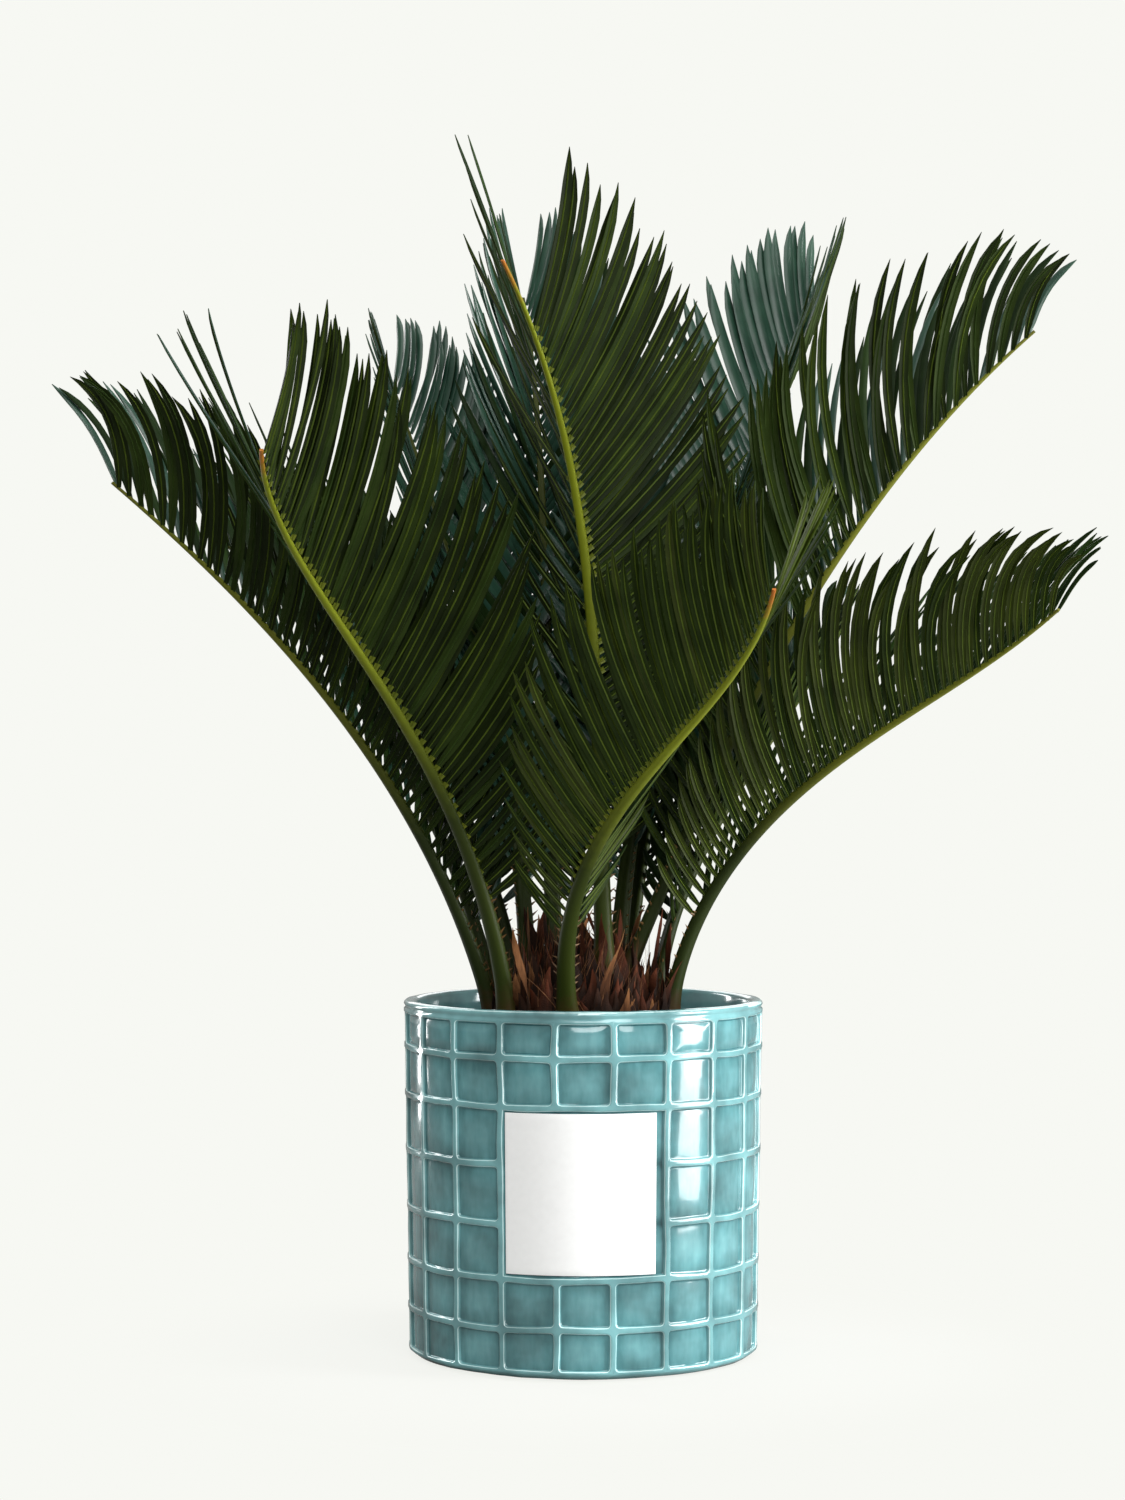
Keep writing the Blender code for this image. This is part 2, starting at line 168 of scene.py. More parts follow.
def add_node(tree, kind, inputs, **settings):
    """Adds a node of this kind with its settings and inputs."""
    node = tree.nodes.new("ShaderNode" + kind)
    for name, value in settings.items():
        setattr(node, name, value)
    feed(node, inputs)
    return node


# %% Materials
BUMP_DEPTH = 0.4 * MM


def make_material(name, colours, roughness, source=None, grain=(400, 400, 400), noise_share=1.0, bump=0.0,
                  bump_grain=900, specular=0.5):
    """A material whose colour runs over (place, colour) stops. The place comes from noise on Object
    coordinates, or from a mesh attribute that the noise moves a little."""
    material = bpy.data.materials.new(name)
    material.use_nodes = True
    tree = material.node_tree
    shader = tree.nodes["Principled BSDF"]
    coordinates = add_node(tree, "TexCoord", {})
    mapping = add_node(tree, "Mapping", {"Vector": coordinates.outputs["Object"], "Scale": grain})
    cloud = add_node(tree, "TexNoise", {"Vector": mapping.outputs["Vector"], "Scale": 1, "Detail": 4})
    place = cloud.outputs["Fac"]
    if source:
        attribute = add_node(tree, "Attribute", {}, attribute_name=source)
        place = add_node(tree, "Math", {0: place, 1: noise_share, 2: attribute.outputs["Fac"]},
                         operation="MULTIPLY_ADD").outputs[0]
        place = add_node(tree, "Math", {0: place, 1: noise_share / 2}, operation="SUBTRACT").outputs[0]
    ramp = add_node(tree, "ValToRGB", {"Fac": place})
    stops = ramp.color_ramp.elements
    while len(stops) < len(colours):
        stops.new(0.5)
    for stop, (position, colour) in zip(stops, colours):
        stop.position = position
        stop.color = (*colour, 1)
    feed(shader, {"Base Color": ramp.outputs["Color"], "Roughness": roughness,
                  "Specular IOR Level": specular})
    if bump:
        fine = add_node(tree, "TexNoise", {"Vector": coordinates.outputs["Object"], "Scale": bump_grain})
        relief = add_node(tree, "Bump", {"Height": fine.outputs["Fac"], "Strength": bump,
                                         "Distance": BUMP_DEPTH})
        feed(shader, {"Normal": relief.outputs["Normal"]})
    return material


def mottle(material, grain, strength):
    """Large soft clouds over the ramp's colour, a little lighter and darker."""
    tree = material.node_tree
    place = tree.nodes["Texture Coordinate"].outputs["Object"]
    colour = tree.nodes["Color Ramp"].outputs["Color"]
    clouds = add_node(tree, "TexNoise", {"Vector": place, "Scale": grain, "Detail": 3})
    spread = add_node(tree, "MapRange", {"Value": clouds.outputs["Fac"], "From Min": 0.3, "From Max": 0.7,
                                         "To Min": 1 - strength, "To Max": 1 + strength})
    change = add_node(tree, "HueSaturation", {"Value": spread.outputs["Result"], "Color": colour})
    feed(tree.nodes["Principled BSDF"], {"Base Color": change.outputs["Color"]})


# %% [markdown]
# ## The pot
# The pot is earthenware under a glossy blue-green glaze. Raised ribs cross it in a grid, and three columns
# by three rows of panels at the front are left out for the card. Modelling this on a round wall would be
# awkward, so the wall is made flat first, like a sheet of clay: a grid of faces, an inset for each panel,
# rounded corners, and a flank that steps down in small insets. Then the sheet is cut across many times, so
# that it can bend. Its panels are pushed up a little in their middle, and it is rolled up.

# %% Sizes of the pot, the same as the frame's
POT_HEIGHT = 186 * MM
RIM_RADIUS = 95 * MM
FOOT_RADIUS = 92 * MM
FLAT_RADIUS = 84 * MM
WALL = 6.5 * MM
FLOOR_TOP = 9 * MM
RIB_HEIGHT = 1.8 * MM
RIM_BAND = 5 * MM
COLUMNS = 20
ROW_HEIGHTS = (19, 25, 29, 30, 28, 25, 22)
BLANK_HALF_WIDTH = 1.5
BLANK_ROWS = (2, 5)
CREST_HALF = 1.05 * MM
CORNER = 2.2 * MM
FLANK_STEPS = ((0.25, -0.10), (0.25, -0.45), (0.25, -0.55), (0.30, -0.45), (0.45, -0.25))
PILLOW = 0.5 * MM
BEND_CUTS = 5
LEVEL_CUTS = 4
FLAT_CREST = 1.13
column_width = 2 * math.pi * RIM_RADIUS / COLUMNS
row_lines = [POT_HEIGHT - RIM_BAND - MM * sum(ROW_HEIGHTS[:row]) for row in range(len(ROW_HEIGHTS) + 1)]
print("rib lines at mm:", [round(1000 * line) for line in row_lines])


def in_blank(centre):
    """Whether a face of the flat sheet lies in the smooth patch at the front."""
    first, last = BLANK_ROWS
    across = abs(centre[0] / column_width - 0.5) < BLANK_HALF_WIDTH
    return across and row_lines[last] < centre[1] < row_lines[first]


# %% The flat sheet with its panels
bpy.ops.mesh.primitive_grid_add(x_subdivisions=COLUMNS, y_subdivisions=len(ROW_HEIGHTS), size=1)
pot = bpy.context.object
pot.name = "glazed_pot"
sheet = points_of(pot)
row_places = np.linspace(0.5, -0.5, len(row_lines))
sheet[:, 1] = np.interp(sheet[:, 1], row_places[::-1], row_lines[::-1])
sheet[:, 0] *= COLUMNS * column_width
set_points(pot, sheet)
for blank in (False, True):
    select_parts(pot, "FACE", lambda face: in_blank(face.center) == blank)
    one_by_one = not blank
    bpy.ops.mesh.inset(thickness=CREST_HALF, use_individual=one_by_one, use_boundary=True)
    if not blank:
        bpy.ops.mesh.bevel(offset=CORNER, segments=3, affect="VERTICES")
        set_mode("OBJECT")
        for face in pot.data.polygons:
            face.select = len(face.vertices) == 16 and not in_blank(face.center)
        set_mode("EDIT")
    for thickness, depth in FLANK_STEPS:
        bpy.ops.mesh.inset(thickness=thickness * MM, depth=depth * MM, use_individual=one_by_one,
                           use_boundary=True)
    set_mode("OBJECT")
select_only(pot)
set_mode("EDIT")
for cut in range(COLUMNS * BEND_CUTS):
    bpy.ops.mesh.select_all(action="SELECT")
    place = ((cut + 0.5) / BEND_CUTS - COLUMNS / 2) * column_width
    bpy.ops.mesh.bisect(plane_co=(place, 0, 0), plane_no=(1, 0, 0), threshold=0.001 * MM)
for upper, lower in zip(row_lines, row_lines[1:]):
    for cut in range(LEVEL_CUTS):
        bpy.ops.mesh.select_all(action="SELECT")
        place = lower + (upper - lower) * (cut + 0.5) / LEVEL_CUTS
        bpy.ops.mesh.bisect(plane_co=(0, place, 0), plane_no=(0, 1, 0), threshold=0.001 * MM)
set_mode("OBJECT")
print("flat sheet:", len(pot.data.polygons), "faces")

# %% [markdown]
# Before the sheet is rolled, its depth is stored on each point. The glaze reads that value later: it pooled
# dark beside the ribs, and their edges are pale, partly where it ran thin and partly as a painted highlight.

# %% Raise the panels' middles, keep the relief, then roll the sheet up
sheet = points_of(pot)
across = 2 * (sheet[:, 0] / column_width % 1) - 1
row = np.clip(np.searchsorted(-np.array(row_lines), -sheet[:, 1]) - 1, 0, len(ROW_HEIGHTS) - 1)
row_top, row_bottom = np.array(row_lines)[row], np.array(row_lines)[row + 1]
upward = 2 * (sheet[:, 1] - row_bottom) / (row_top - row_bottom) - 1
sunk = sheet[:, 2] < -0.99 * RIB_HEIGHT
sheet[sunk, 2] += (PILLOW * (1 - across ** 4) * (1 - upward ** 4))[sunk]
set_points(pot, sheet)
relief = pot.data.attributes.new("relief", "FLOAT", "POINT")
relief.data.foreach_set("value", np.where(sheet[:, 2] > -0.01 * MM, FLAT_CREST, 1 + sheet[:, 2] / RIB_HEIGHT))
angle = (sheet[:, 0] / column_width - 0.5) * 2 * math.pi / COLUMNS - math.pi / 2
radius = FOOT_RADIUS + (RIM_RADIUS - FOOT_RADIUS) * sheet[:, 1] / POT_HEIGHT + sheet[:, 2]
set_points(pot, np.stack([radius * np.cos(angle), radius * np.sin(angle), sheet[:, 1]], 1))
SEAM_TURN = math.pi / 2 - math.pi / COLUMNS
select_parts(pot, "VERT", lambda point: abs(math.atan2(point.co.y, point.co.x) - SEAM_TURN) < 0.0001)
bpy.ops.mesh.remove_doubles(threshold=0.01 * MM)
set_mode("OBJECT")

# %% [markdown]
# A pot pressed by hand has no straight line. Soft noise shifts the rolled wall a little, round the pot and
# up or down, and fades out towards the rim and the foot, so that the open edges stay level.

# %% Let the lattice wander
WANDER = 0.9 * MM
WANDER_GRAIN = 26 * MM
WANDER_SEED = 4
WANDER_FADE = 12 * MM
noise.seed_set(WANDER_SEED)
wandering = points_of(pot)
for row, point in enumerate(wandering):
    push = noise.noise_vector(Vector(point) / WANDER_GRAIN)
    fade = min(1, (point[2] - row_lines[-1]) / WANDER_FADE, (row_lines[0] - point[2]) / WANDER_FADE)
    turn = math.atan2(point[1], point[0]) + fade * WANDER * push.x / RIM_RADIUS
    out = math.hypot(point[0], point[1])
    wandering[row] = (out * math.cos(turn), out * math.sin(turn), point[2] + fade * WANDER * push.y)
set_points(pot, wandering)

# %% [markdown]
# The rolled wall is an open tube. Its upper edge is drawn out ring by ring, over the lip and down the
# inside to the floor, and its lower edge runs in under the foot. Each ring is one extrusion, a scale and a
# move.

# %% Lip, inside and foot
def draw_rings(thing, height, profile):
    """Extrudes the open edge at this height through (radius, height) rings and closes the last one."""
    select_only(thing)
    set_mode("EDIT")
    bpy.ops.mesh.select_mode(type="EDGE")
    bpy.ops.mesh.select_all(action="DESELECT")
    bpy.ops.mesh.select_non_manifold(use_wire=False, use_multi_face=False, use_non_contiguous=False,
                                     use_verts=False)
    set_mode("OBJECT")
    points = points_of(thing)
    for edge in thing.data.edges:
        edge.select = edge.select and bool(abs(points[edge.vertices[0], 2] - height) < 0.1 * MM)
    for face in thing.data.polygons:
        face.select = False
    set_mode("EDIT")
    now_radius, now_height = RIM_RADIUS if height > POT_HEIGHT / 2 else FOOT_RADIUS, height
    for radius, height in profile:
        add_ring((0, 0, height - now_height), radius / now_radius, center_override=(0, 0, 0))
        now_radius, now_height = radius, height
    bpy.ops.mesh.edge_face_add()
    set_mode("OBJECT")


def lip_profile():
    """The rim in section: up from the top rib, over a rounded lip, and down inside."""
    rings = [(RIM_RADIUS - 0.9 * MM, POT_HEIGHT - 4.2 * MM), (RIM_RADIUS - 0.7 * MM, POT_HEIGHT - 3.2 * MM)]
    middle, half = RIM_RADIUS - WALL / 2, WALL / 2
    for step in range(9):
        turn = math.pi * step / 8
        rings.append((middle + half * math.cos(turn), POT_HEIGHT - 2.2 * MM * (1 - math.sin(turn))))
    inner_foot = FOOT_RADIUS - WALL - RIB_HEIGHT
    inner_rim = RIM_RADIUS - WALL
    for share in (0.04, 0.12, 0.3, 0.5, 0.7, 0.9, 1):
        rings.append((inner_rim + (inner_foot - inner_rim) * share, POT_HEIGHT - 2.4 * MM
                      - (POT_HEIGHT - 2.4 * MM - FLOOR_TOP) * share))
    return rings


draw_rings(pot, row_lines[0], lip_profile())
draw_rings(pot, row_lines[-1], [(FOOT_RADIUS - 1.4 * MM, 1.8 * MM), (FOOT_RADIUS - 3.2 * MM, 0.5 * MM),
                                (FOOT_RADIUS - 5 * MM, 0.1 * MM), (FLAT_RADIUS, 0)])
ripple(pot, 0.014, 0.5 * MM)
ripple(pot, 0.05, 0.6 * MM)
low = points_of(pot)
low[:, 2] = np.maximum(low[:, 2], 0)
set_points(pot, low)
round_off(pot, 60)
# The top of the lip takes the pale glaze stop: a painted highlight along the rim.
painted_lip_highlight = (np.hypot(low[:, 0], low[:, 1]) > RIM_RADIUS - 1.8 * MM) & (low[:, 2] > POT_HEIGHT - 1.3 * MM)
shades = np.empty(len(low))
relief = pot.data.attributes["relief"]
relief.data.foreach_get("value", shades)
relief.data.foreach_set("value", np.where(painted_lip_highlight, 0.86, shades))
print("pot:", len(pot.data.polygons), "faces")

# %% [markdown]
# ## The glaze
# Glaze is glass over clay. Its colour comes mostly from how thick it lies, so the ramp over the stored relief
# goes from a deep teal in the corners of a panel, through the plain blue-green of its middle, to a pale
# crest, whose pale edges and lip are partly thin glaze and partly a painted highlight. A clear coat on the
# shader gives the sharp second reflection of fired glass.

# %% Glaze
# The pale stops at 0.83 to 0.94 sit on the upper edges of the rib flanks: partly thin glaze, partly painted
# highlight.
glaze = make_material(
    "blue_green_glaze",
    [(0.0, (0.018, 0.080, 0.092)), (0.08, (0.045, 0.155, 0.170)), (0.20, (0.085, 0.235, 0.252)),
     (0.32, (0.130, 0.305, 0.325)), (0.60, (0.130, 0.310, 0.328)), (0.83, (0.60, 0.84, 0.84)),
     (0.94, (0.60, 0.84, 0.84)), (1.0, (0.155, 0.345, 0.362))],
    0.15, source="relief", grain=(300, 300, 90), noise_share=0.20, bump=0.08, bump_grain=160)
feed(glaze.node_tree.nodes["Principled BSDF"], {"Coat Weight": 0.7, "Coat Roughness": 0.05})
mottle(glaze, 40, 0.38)
pot.data.materials.append(glaze)
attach(pot, "root")
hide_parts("pot")

# %% [markdown]
# ## The card
# A plain paper card is glued on the smooth patch. It is made as the pot's wall is: a flat grid, bent to the
# curve by its own formula, then given a little thickness. The card stays blank.

# %% Card
CARD_TURNS = (-115.3, -67)
CARD_HEIGHTS = (53 * MM, 134.5 * MM)
CARD_THICKNESS = 0.5 * MM
CLEAR = 0.35 * MM
bpy.ops.mesh.primitive_grid_add(x_subdivisions=48, y_subdivisions=24, size=1)
card = bpy.context.object
card.name = "paper_card"
flat = points_of(card)
turn = np.radians(np.interp(flat[:, 0], (-0.5, 0.5), CARD_TURNS))
height = np.interp(flat[:, 1], (-0.5, 0.5), CARD_HEIGHTS)
radius = FOOT_RADIUS + (RIM_RADIUS - FOOT_RADIUS) * height / POT_HEIGHT - RIB_HEIGHT + PILLOW + CLEAR
set_points(card, np.stack([radius * np.cos(turn), radius * np.sin(turn), height], 1))
apply_modifier(card, "SOLIDIFY", thickness=CARD_THICKNESS, offset=1)
apply_modifier(card, "BEVEL", width=0.15 * MM, segments=2, limit_method="ANGLE")
round_off(card)
paper = make_material("card_paper", [(0.3, (0.93, 0.93, 0.93)), (0.7, (0.96, 0.96, 0.96))], 0.5,
                      grain=(300, 300, 300), bump=0.03, bump_grain=2500)
card.data.materials.append(paper)
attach(card, "root")
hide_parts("card")
print("card:", len(card.data.polygons), "faces")

# %% [markdown]
# ## Joined pieces from arrays
# A palm has over a thousand leaflets. One object for each would be slow and would drown the outliner, so
# small repeated things are written into arrays and become one mesh. The helper below collects points,
# faces, the material of each face and one number per point that a material can read.

# %% A collector for joined meshes
@lru_cache(maxsize=None)
def face_layout(faces):
    """The corners of the faces in one row, their counts, and the triangles that the faces split into."""
    corners = np.array([corner for face in faces for corner in face])
    counts = np.array([len(face) for face in faces])
    triangles = np.array([(face[0], face[i], face[i + 1]) for face in faces for i in range(1, len(face) - 1)])
    return corners, counts, triangles


class Collector:
    """Gathers closed shapes and turns each the right way out, then makes one object of them."""

    def __init__(self, name):
        self.name = name
        self.points, self.corners, self.counts, self.paints, self.values = [], [], [], [], []
        self.total = 0

    def add(self, points, faces, paints, values=None):
        points = np.asarray(points, float)
        corners, counts, triangles = face_layout(faces)
        a, b, c = (points[triangles[:, i]] - points[0] for i in range(3))
        step = -1 if np.einsum("ij,ij->", a, np.cross(b, c)) < 0 else 1
        self.points.append(points)
        self.corners.append(corners[::step] + self.total)
        self.counts.append(counts[::step])
        self.paints.append(np.broadcast_to(paints, counts.shape)[::step])
        self.values.append(np.zeros(len(points)) if values is None else np.asarray(values, float))
        self.total += len(points)

    def build(self, materials):
        counts = np.concatenate(self.counts)
        mesh = bpy.data.meshes.new(self.name)
        mesh.vertices.add(self.total)
        mesh.vertices.foreach_set("co", np.concatenate(self.points).ravel())
        mesh.loops.add(int(counts.sum()))
        mesh.loops.foreach_set("vertex_index", np.concatenate(self.corners))
        mesh.polygons.add(len(counts))
        mesh.polygons.foreach_set("loop_start", np.concatenate([[0], np.cumsum(counts)[:-1]]))
        for material in materials:
            mesh.materials.append(material)
        mesh.polygons.foreach_set("material_index", np.concatenate(self.paints))
        mesh.update(calc_edges=True)
        value = mesh.attributes.new("along", "FLOAT", "POINT")
        value.data.foreach_set("value", np.concatenate(self.values))
        made = bpy.data.objects.new(self.name, mesh)
        bpy.context.scene.collection.objects.link(made)
        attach(made, "root")
        return made


def turned(first, second, angle):
    """Two directions at right angles, or two rows of coordinates, turned by this angle in their plane."""
    return first * np.cos(angle) + second * np.sin(angle), second * np.cos(angle) - first * np.sin(angle)


def tube_faces(rings, sides):
    """The faces of a closed tube of rings, with a face at each end."""
    around = [(i, (i + 1) % sides) for i in range(sides)]
    faces = [(low + i, low + j, low + sides + j, low + sides + i)
             for low in range(0, (rings - 1) * sides, sides) for i, j in around]
    return tuple(faces) + (tuple(range(sides))[::-1], tuple(range((rings - 1) * sides, rings * sides)))


# %% [markdown]
# ## The soil
# The rim hides the soil from the front, but not from above. It is a disc whose top is cut into rings and
# pushed about by noise, with loose crumbs and a few bits of bark lying on it.

# %% Soil
SOIL_TOP = 168 * MM
SOIL_RADIUS = 86.3 * MM
SOIL_DEPTH = 24 * MM
bpy.ops.mesh.primitive_cylinder_add(vertices=96, radius=SOIL_RADIUS, depth=SOIL_DEPTH,
                                    location=(0, 0, SOIL_TOP - SOIL_DEPTH / 2))
soil = bpy.context.object
soil.name = "potting_soil"
bpy.ops.object.transform_apply()
select_parts(soil, "FACE", lambda face: face.normal.z > 0.9)
for ring in range(18):
    bpy.ops.mesh.inset(thickness=4.5 * MM)
set_mode("OBJECT")
flat_soil = points_of(soil)
ripple(soil, 0.012, 3.5 * MM)
rough_soil = points_of(soil)
rough_soil[:, :2] = flat_soil[:, :2]
rough_soil[flat_soil[:, 2] < SOIL_TOP - MM] = flat_soil[flat_soil[:, 2] < SOIL_TOP - MM]
set_points(soil, rough_soil)
round_off(soil, 50)
earth = make_material("dark_soil", [(0.25, (0.012, 0.007, 0.004)), (0.5, (0.030, 0.018, 0.011)),
                                    (0.8, (0.075, 0.045, 0.026))], 0.95, grain=(330, 330, 330),
                      bump=0.9, bump_grain=1400)
bark_bit = make_material("bark_bit", [(0.3, (0.075, 0.036, 0.018)), (0.7, (0.16, 0.085, 0.042))], 0.9,
                         grain=(500, 500, 500), bump=0.5)
soil.data.materials.append(earth)
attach(soil, "root")
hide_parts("soil")

# %% Crumbs on the soil
CRUMBS = 900
CRUMB_REACH = 84.5 * MM
BARE_MIDDLE = 0.22
chance = random.Random(7)
bpy.ops.mesh.primitive_ico_sphere_add(subdivisions=1, radius=1)
crumb = bpy.context.object
crumb_points, crumb_faces = points_of(crumb), tuple(tuple(face.vertices) for face in crumb.data.polygons)
bpy.data.objects.remove(crumb)
crumbs = Collector("soil_crumbs")
for number in range(CRUMBS):
    turn, out = chance.uniform(0, 2 * math.pi), CRUMB_REACH * math.sqrt(chance.uniform(BARE_MIDDLE, 1))
    size = MM * chance.choice((0.9, 1.2, 1.6, 2.2, 3.0))
    stretch = np.array([chance.uniform(0.7, 1.5), chance.uniform(0.7, 1.2), chance.uniform(0.45, 0.8)])
    jitter = np.array([[chance.uniform(0.75, 1.2)] for _ in crumb_points])
    spin = chance.uniform(0, 2 * math.pi)
    shape = crumb_points * jitter * stretch * size
    y, x = turned(shape[:, 1], shape[:, 0], spin)
    place = np.array([out * math.cos(turn), out * math.sin(turn), SOIL_TOP + 0.25 * size])
    crumbs.add(np.stack([x, y, shape[:, 2]], 1) + place, crumb_faces, int(number % 6 == 0))
loose = crumbs.build([earth, bark_bit])
print("crumbs:", len(loose.data.polygons), "faces")

# %% [markdown]
# ## The trunk
# A young sago palm's trunk is a low dome under a coat of pointed, papery scales: red-brown, and tan at their
# worn edges, a tan that is partly their own and partly a painted highlight, with loose fibres. The dome is a
# short cylinder, drawn up in steps that narrow, and roughened.
# One scale is drawn as a flattened ring extruded seven times while it narrows and curls, and its
# copies climb the dome in a spiral, as they grow. Longer torn shreds and thin fibres stand up between them.

# %% The dome
TRUNK_FOOT = SOIL_TOP + 0.3 * MM
TRUNK_RADIUS = 47 * MM
TRUNK_HEIGHT = 38 * MM
TRUNK_BELLY = 4 * MM
TRUNK_CURVE = 1.5


def trunk_radius(height):
    """The dome's radius at this height, as in the frame."""
    above = height - TRUNK_FOOT - TRUNK_BELLY
    if above < 0:
        return TRUNK_RADIUS + above / 4
    return TRUNK_RADIUS * (1 - min(above / (TRUNK_HEIGHT - TRUNK_BELLY), 1) ** TRUNK_CURVE)


def trunk_point(turn, height):
    """A point on the dome and the direction that its surface faces there. The turn is in degrees."""
    step = 0.2 * MM
    slope = (trunk_radius(height + step) - trunk_radius(height - step)) / (2 * step)
    way = np.array([math.cos(math.radians(turn)), math.sin(math.radians(turn)), 0])
    facing = way - np.array([0, 0, slope])
    return trunk_radius(height) * way + np.array([0, 0, height]), facing / np.linalg.norm(facing)


bpy.ops.mesh.primitive_cylinder_add(vertices=72, radius=trunk_radius(TRUNK_FOOT), depth=MM,
                                    end_fill_type="NGON", location=(0, 0, TRUNK_FOOT + MM / 2))
dome = bpy.context.object
dome.name = "trunk_dome"
bpy.ops.object.transform_apply()
select_parts(dome, "FACE", lambda face: face.normal.z > 0.9)
before, level = trunk_radius(TRUNK_FOOT), TRUNK_FOOT + MM
for share in (0.06, 0.12, 0.2, 0.3, 0.4, 0.5, 0.6, 0.7, 0.79, 0.87, 0.93, 0.97):
    height = TRUNK_FOOT + TRUNK_HEIGHT * share
    add_ring((0, 0, height - level), trunk_radius(height) / before, center_override=(0, 0, 0))
    before, level = trunk_radius(height), height
set_mode("OBJECT")
ripple(dome, 0.006, 2.5 * MM)
level_foot = points_of(dome)
level_foot[:, 2] = np.maximum(level_foot[:, 2], TRUNK_FOOT)
set_points(dome, level_foot)
round_off(dome, 50)
husk = make_material("trunk_husk", [(0.25, (0.010, 0.004, 0.003)), (0.55, (0.040, 0.014, 0.009)),
                                    (0.85, (0.10, 0.038, 0.020))], 0.85, grain=(240, 240, 90), bump=0.9)
dome.data.materials.append(husk)
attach(dome, "root")
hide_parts("trunk")

# %% One scale, drawn once
bpy.ops.mesh.primitive_circle_add(vertices=8, radius=1, fill_type="NGON")
scale_shape = bpy.context.object
bpy.ops.transform.resize(value=(0.20, 0.055, 1))
bpy.ops.object.transform_apply()
set_mode("EDIT")
bpy.ops.mesh.select_all(action="SELECT")
for width, lift, out in ((1.10, 0.13, 0.030), (0.92, 0.13, 0.020), (0.80, 0.14, 0.005), (0.74, 0.14, -0.010),
                         (0.68, 0.15, -0.020), (0.55, 0.15, -0.010), (0.20, 0.16, 0.015)):
    add_ring((0, out, lift), width)
set_mode("OBJECT")
scale_points = points_of(scale_shape)
scale_faces = tuple(tuple(face.vertices) for face in scale_shape.data.polygons)
bpy.data.objects.remove(scale_shape)
print("one scale:", len(scale_faces), "faces, height", round(scale_points[:, 2].max(), 2))

# %% Scales and fibres round the dome
GOLDEN_TURN = 137.508
SCALES = 380
SHREDS = 46
FIBRES = 300
TRUNK_TIP = 0.234


def scale_frame(turn, height, chance):
    """A root on the dome, and the directions across a scale, outwards and towards its tip."""
    root, facing = trunk_point(turn, height)
    sideways = np.array([-math.sin(math.radians(turn)), math.cos(math.radians(turn)), 0])
    tip_way = np.array([0, 0, 1]) + chance.uniform(-0.08, 0.30) * facing + chance.gauss(0, 0.16) * sideways
    tip_way /= np.linalg.norm(tip_way)
    across = np.cross(tip_way, facing)
    across /= np.linalg.norm(across)
    return root - facing * MM, across, np.cross(across, tip_way), tip_way


chance = random.Random(21)
scales = Collector("trunk_scales")
for number in range(SCALES):
    height = TRUNK_FOOT + TRUNK_HEIGHT * 0.86 * ((number + 0.5) / SCALES) ** 1.1
    root, across, outer, tip_way = scale_frame(number * GOLDEN_TURN, height, chance)
    length = MM * chance.uniform(10, 27)
    wide = MM * chance.uniform(16, 32)
    twist = chance.gauss(0, 0.55)
    turn = twist * scale_points[:, 2:3] ** 1.5
    rag = np.array([[chance.uniform(0.75, 1.25)] for _ in scale_points])
    flat, thick = turned(across, outer, turn)
    wave = math.copysign(0.05 * length, twist) * np.sin(scale_points[:, 2:3] * chance.uniform(2, 6)) * across
    shape = (scale_points[:, :1] * rag * flat * wide + scale_points[:, 1:2] * thick * wide
             + scale_points[:, 2:3] * tip_way * length + wave)
    scales.add(root + shape, scale_faces, chance.choice((0, 0, 0, 0, 1, 1, 2)), scale_points[:, 2])
SHRED_RINGS = 12
SHRED_SECTION = ((1, 0), (0.5, 0.5), (-0.5, 0.5), (-1, 0), (-0.5, -0.5), (0.5, -0.5))
SHRED_FACES = tube_faces(SHRED_RINGS, len(SHRED_SECTION))
for number in range(SHREDS):
    height = TRUNK_FOOT + TRUNK_HEIGHT * chance.uniform(0.05, 0.8)
    root, across, outer, tip_way = scale_frame(number * GOLDEN_TURN + chance.uniform(-9, 9), height, chance)
    length = min(MM * chance.choice((20, 26, 32, 38, 46, 56)), (TRUNK_TIP - root[2]) / tip_way[2])
    half, thick = MM * chance.uniform(2.2, 5.0), MM * chance.uniform(0.7, 1.3)
    twist, curl = chance.gauss(0, 1.6), chance.uniform(-0.10, 0.16)
    lean, start = chance.gauss(0, 0.10), chance.uniform(0, 6)
    rings = []
    for step in range(SHRED_RINGS):
        part = step / (SHRED_RINGS - 1)
        away, aside = 0.05 + curl * part ** 2, lean * part ** 2 + 0.035 * math.sin(start + 7 * part) * part
        middle = root + length * (tip_way * part + outer * away + across * aside)
        flat, high = turned(across, outer, twist * part ** 1.3)
        wide = half * (1 - part ** 2.2) * chance.uniform(0.82, 1.12) + 0.15 * MM
        deep = thick * (1 - 0.7 * part)
        rings += [middle + wide * x * flat + deep * y * high for x, y in SHRED_SECTION]
    paint = chance.choice((0, 1, 1, 2, 2))
    scales.add(rings, SHRED_FACES, paint, np.repeat(np.linspace(0.15, 1, SHRED_RINGS), len(SHRED_SECTION)))
FIBRE_FACES = tube_faces(7, 3)
for number in range(FIBRES):
    height = TRUNK_FOOT + TRUNK_HEIGHT * chance.uniform(0.05, 0.85)
    root, across, outer, tip_way = scale_frame(chance.uniform(0, 360), height, chance)
    bow = MM * (chance.gauss(0, 6) * across + chance.uniform(-5, 3) * outer)
    length = min(MM * chance.uniform(12, 40), (TRUNK_TIP - root[2]) / tip_way[2])
    thick = MM * chance.uniform(0.16, 0.36)
    rings = []
    for step in range(7):
        share = step / 6
        middle = root + outer * MM + length * tip_way * share + bow * share ** 2
        size = thick * (1 - 0.85 * share)
        rings += [middle + size * (math.cos(a) * across + math.sin(a) * outer) for a in (0, 2.1, 4.2)]
    scales.add(rings, FIBRE_FACES, 3)


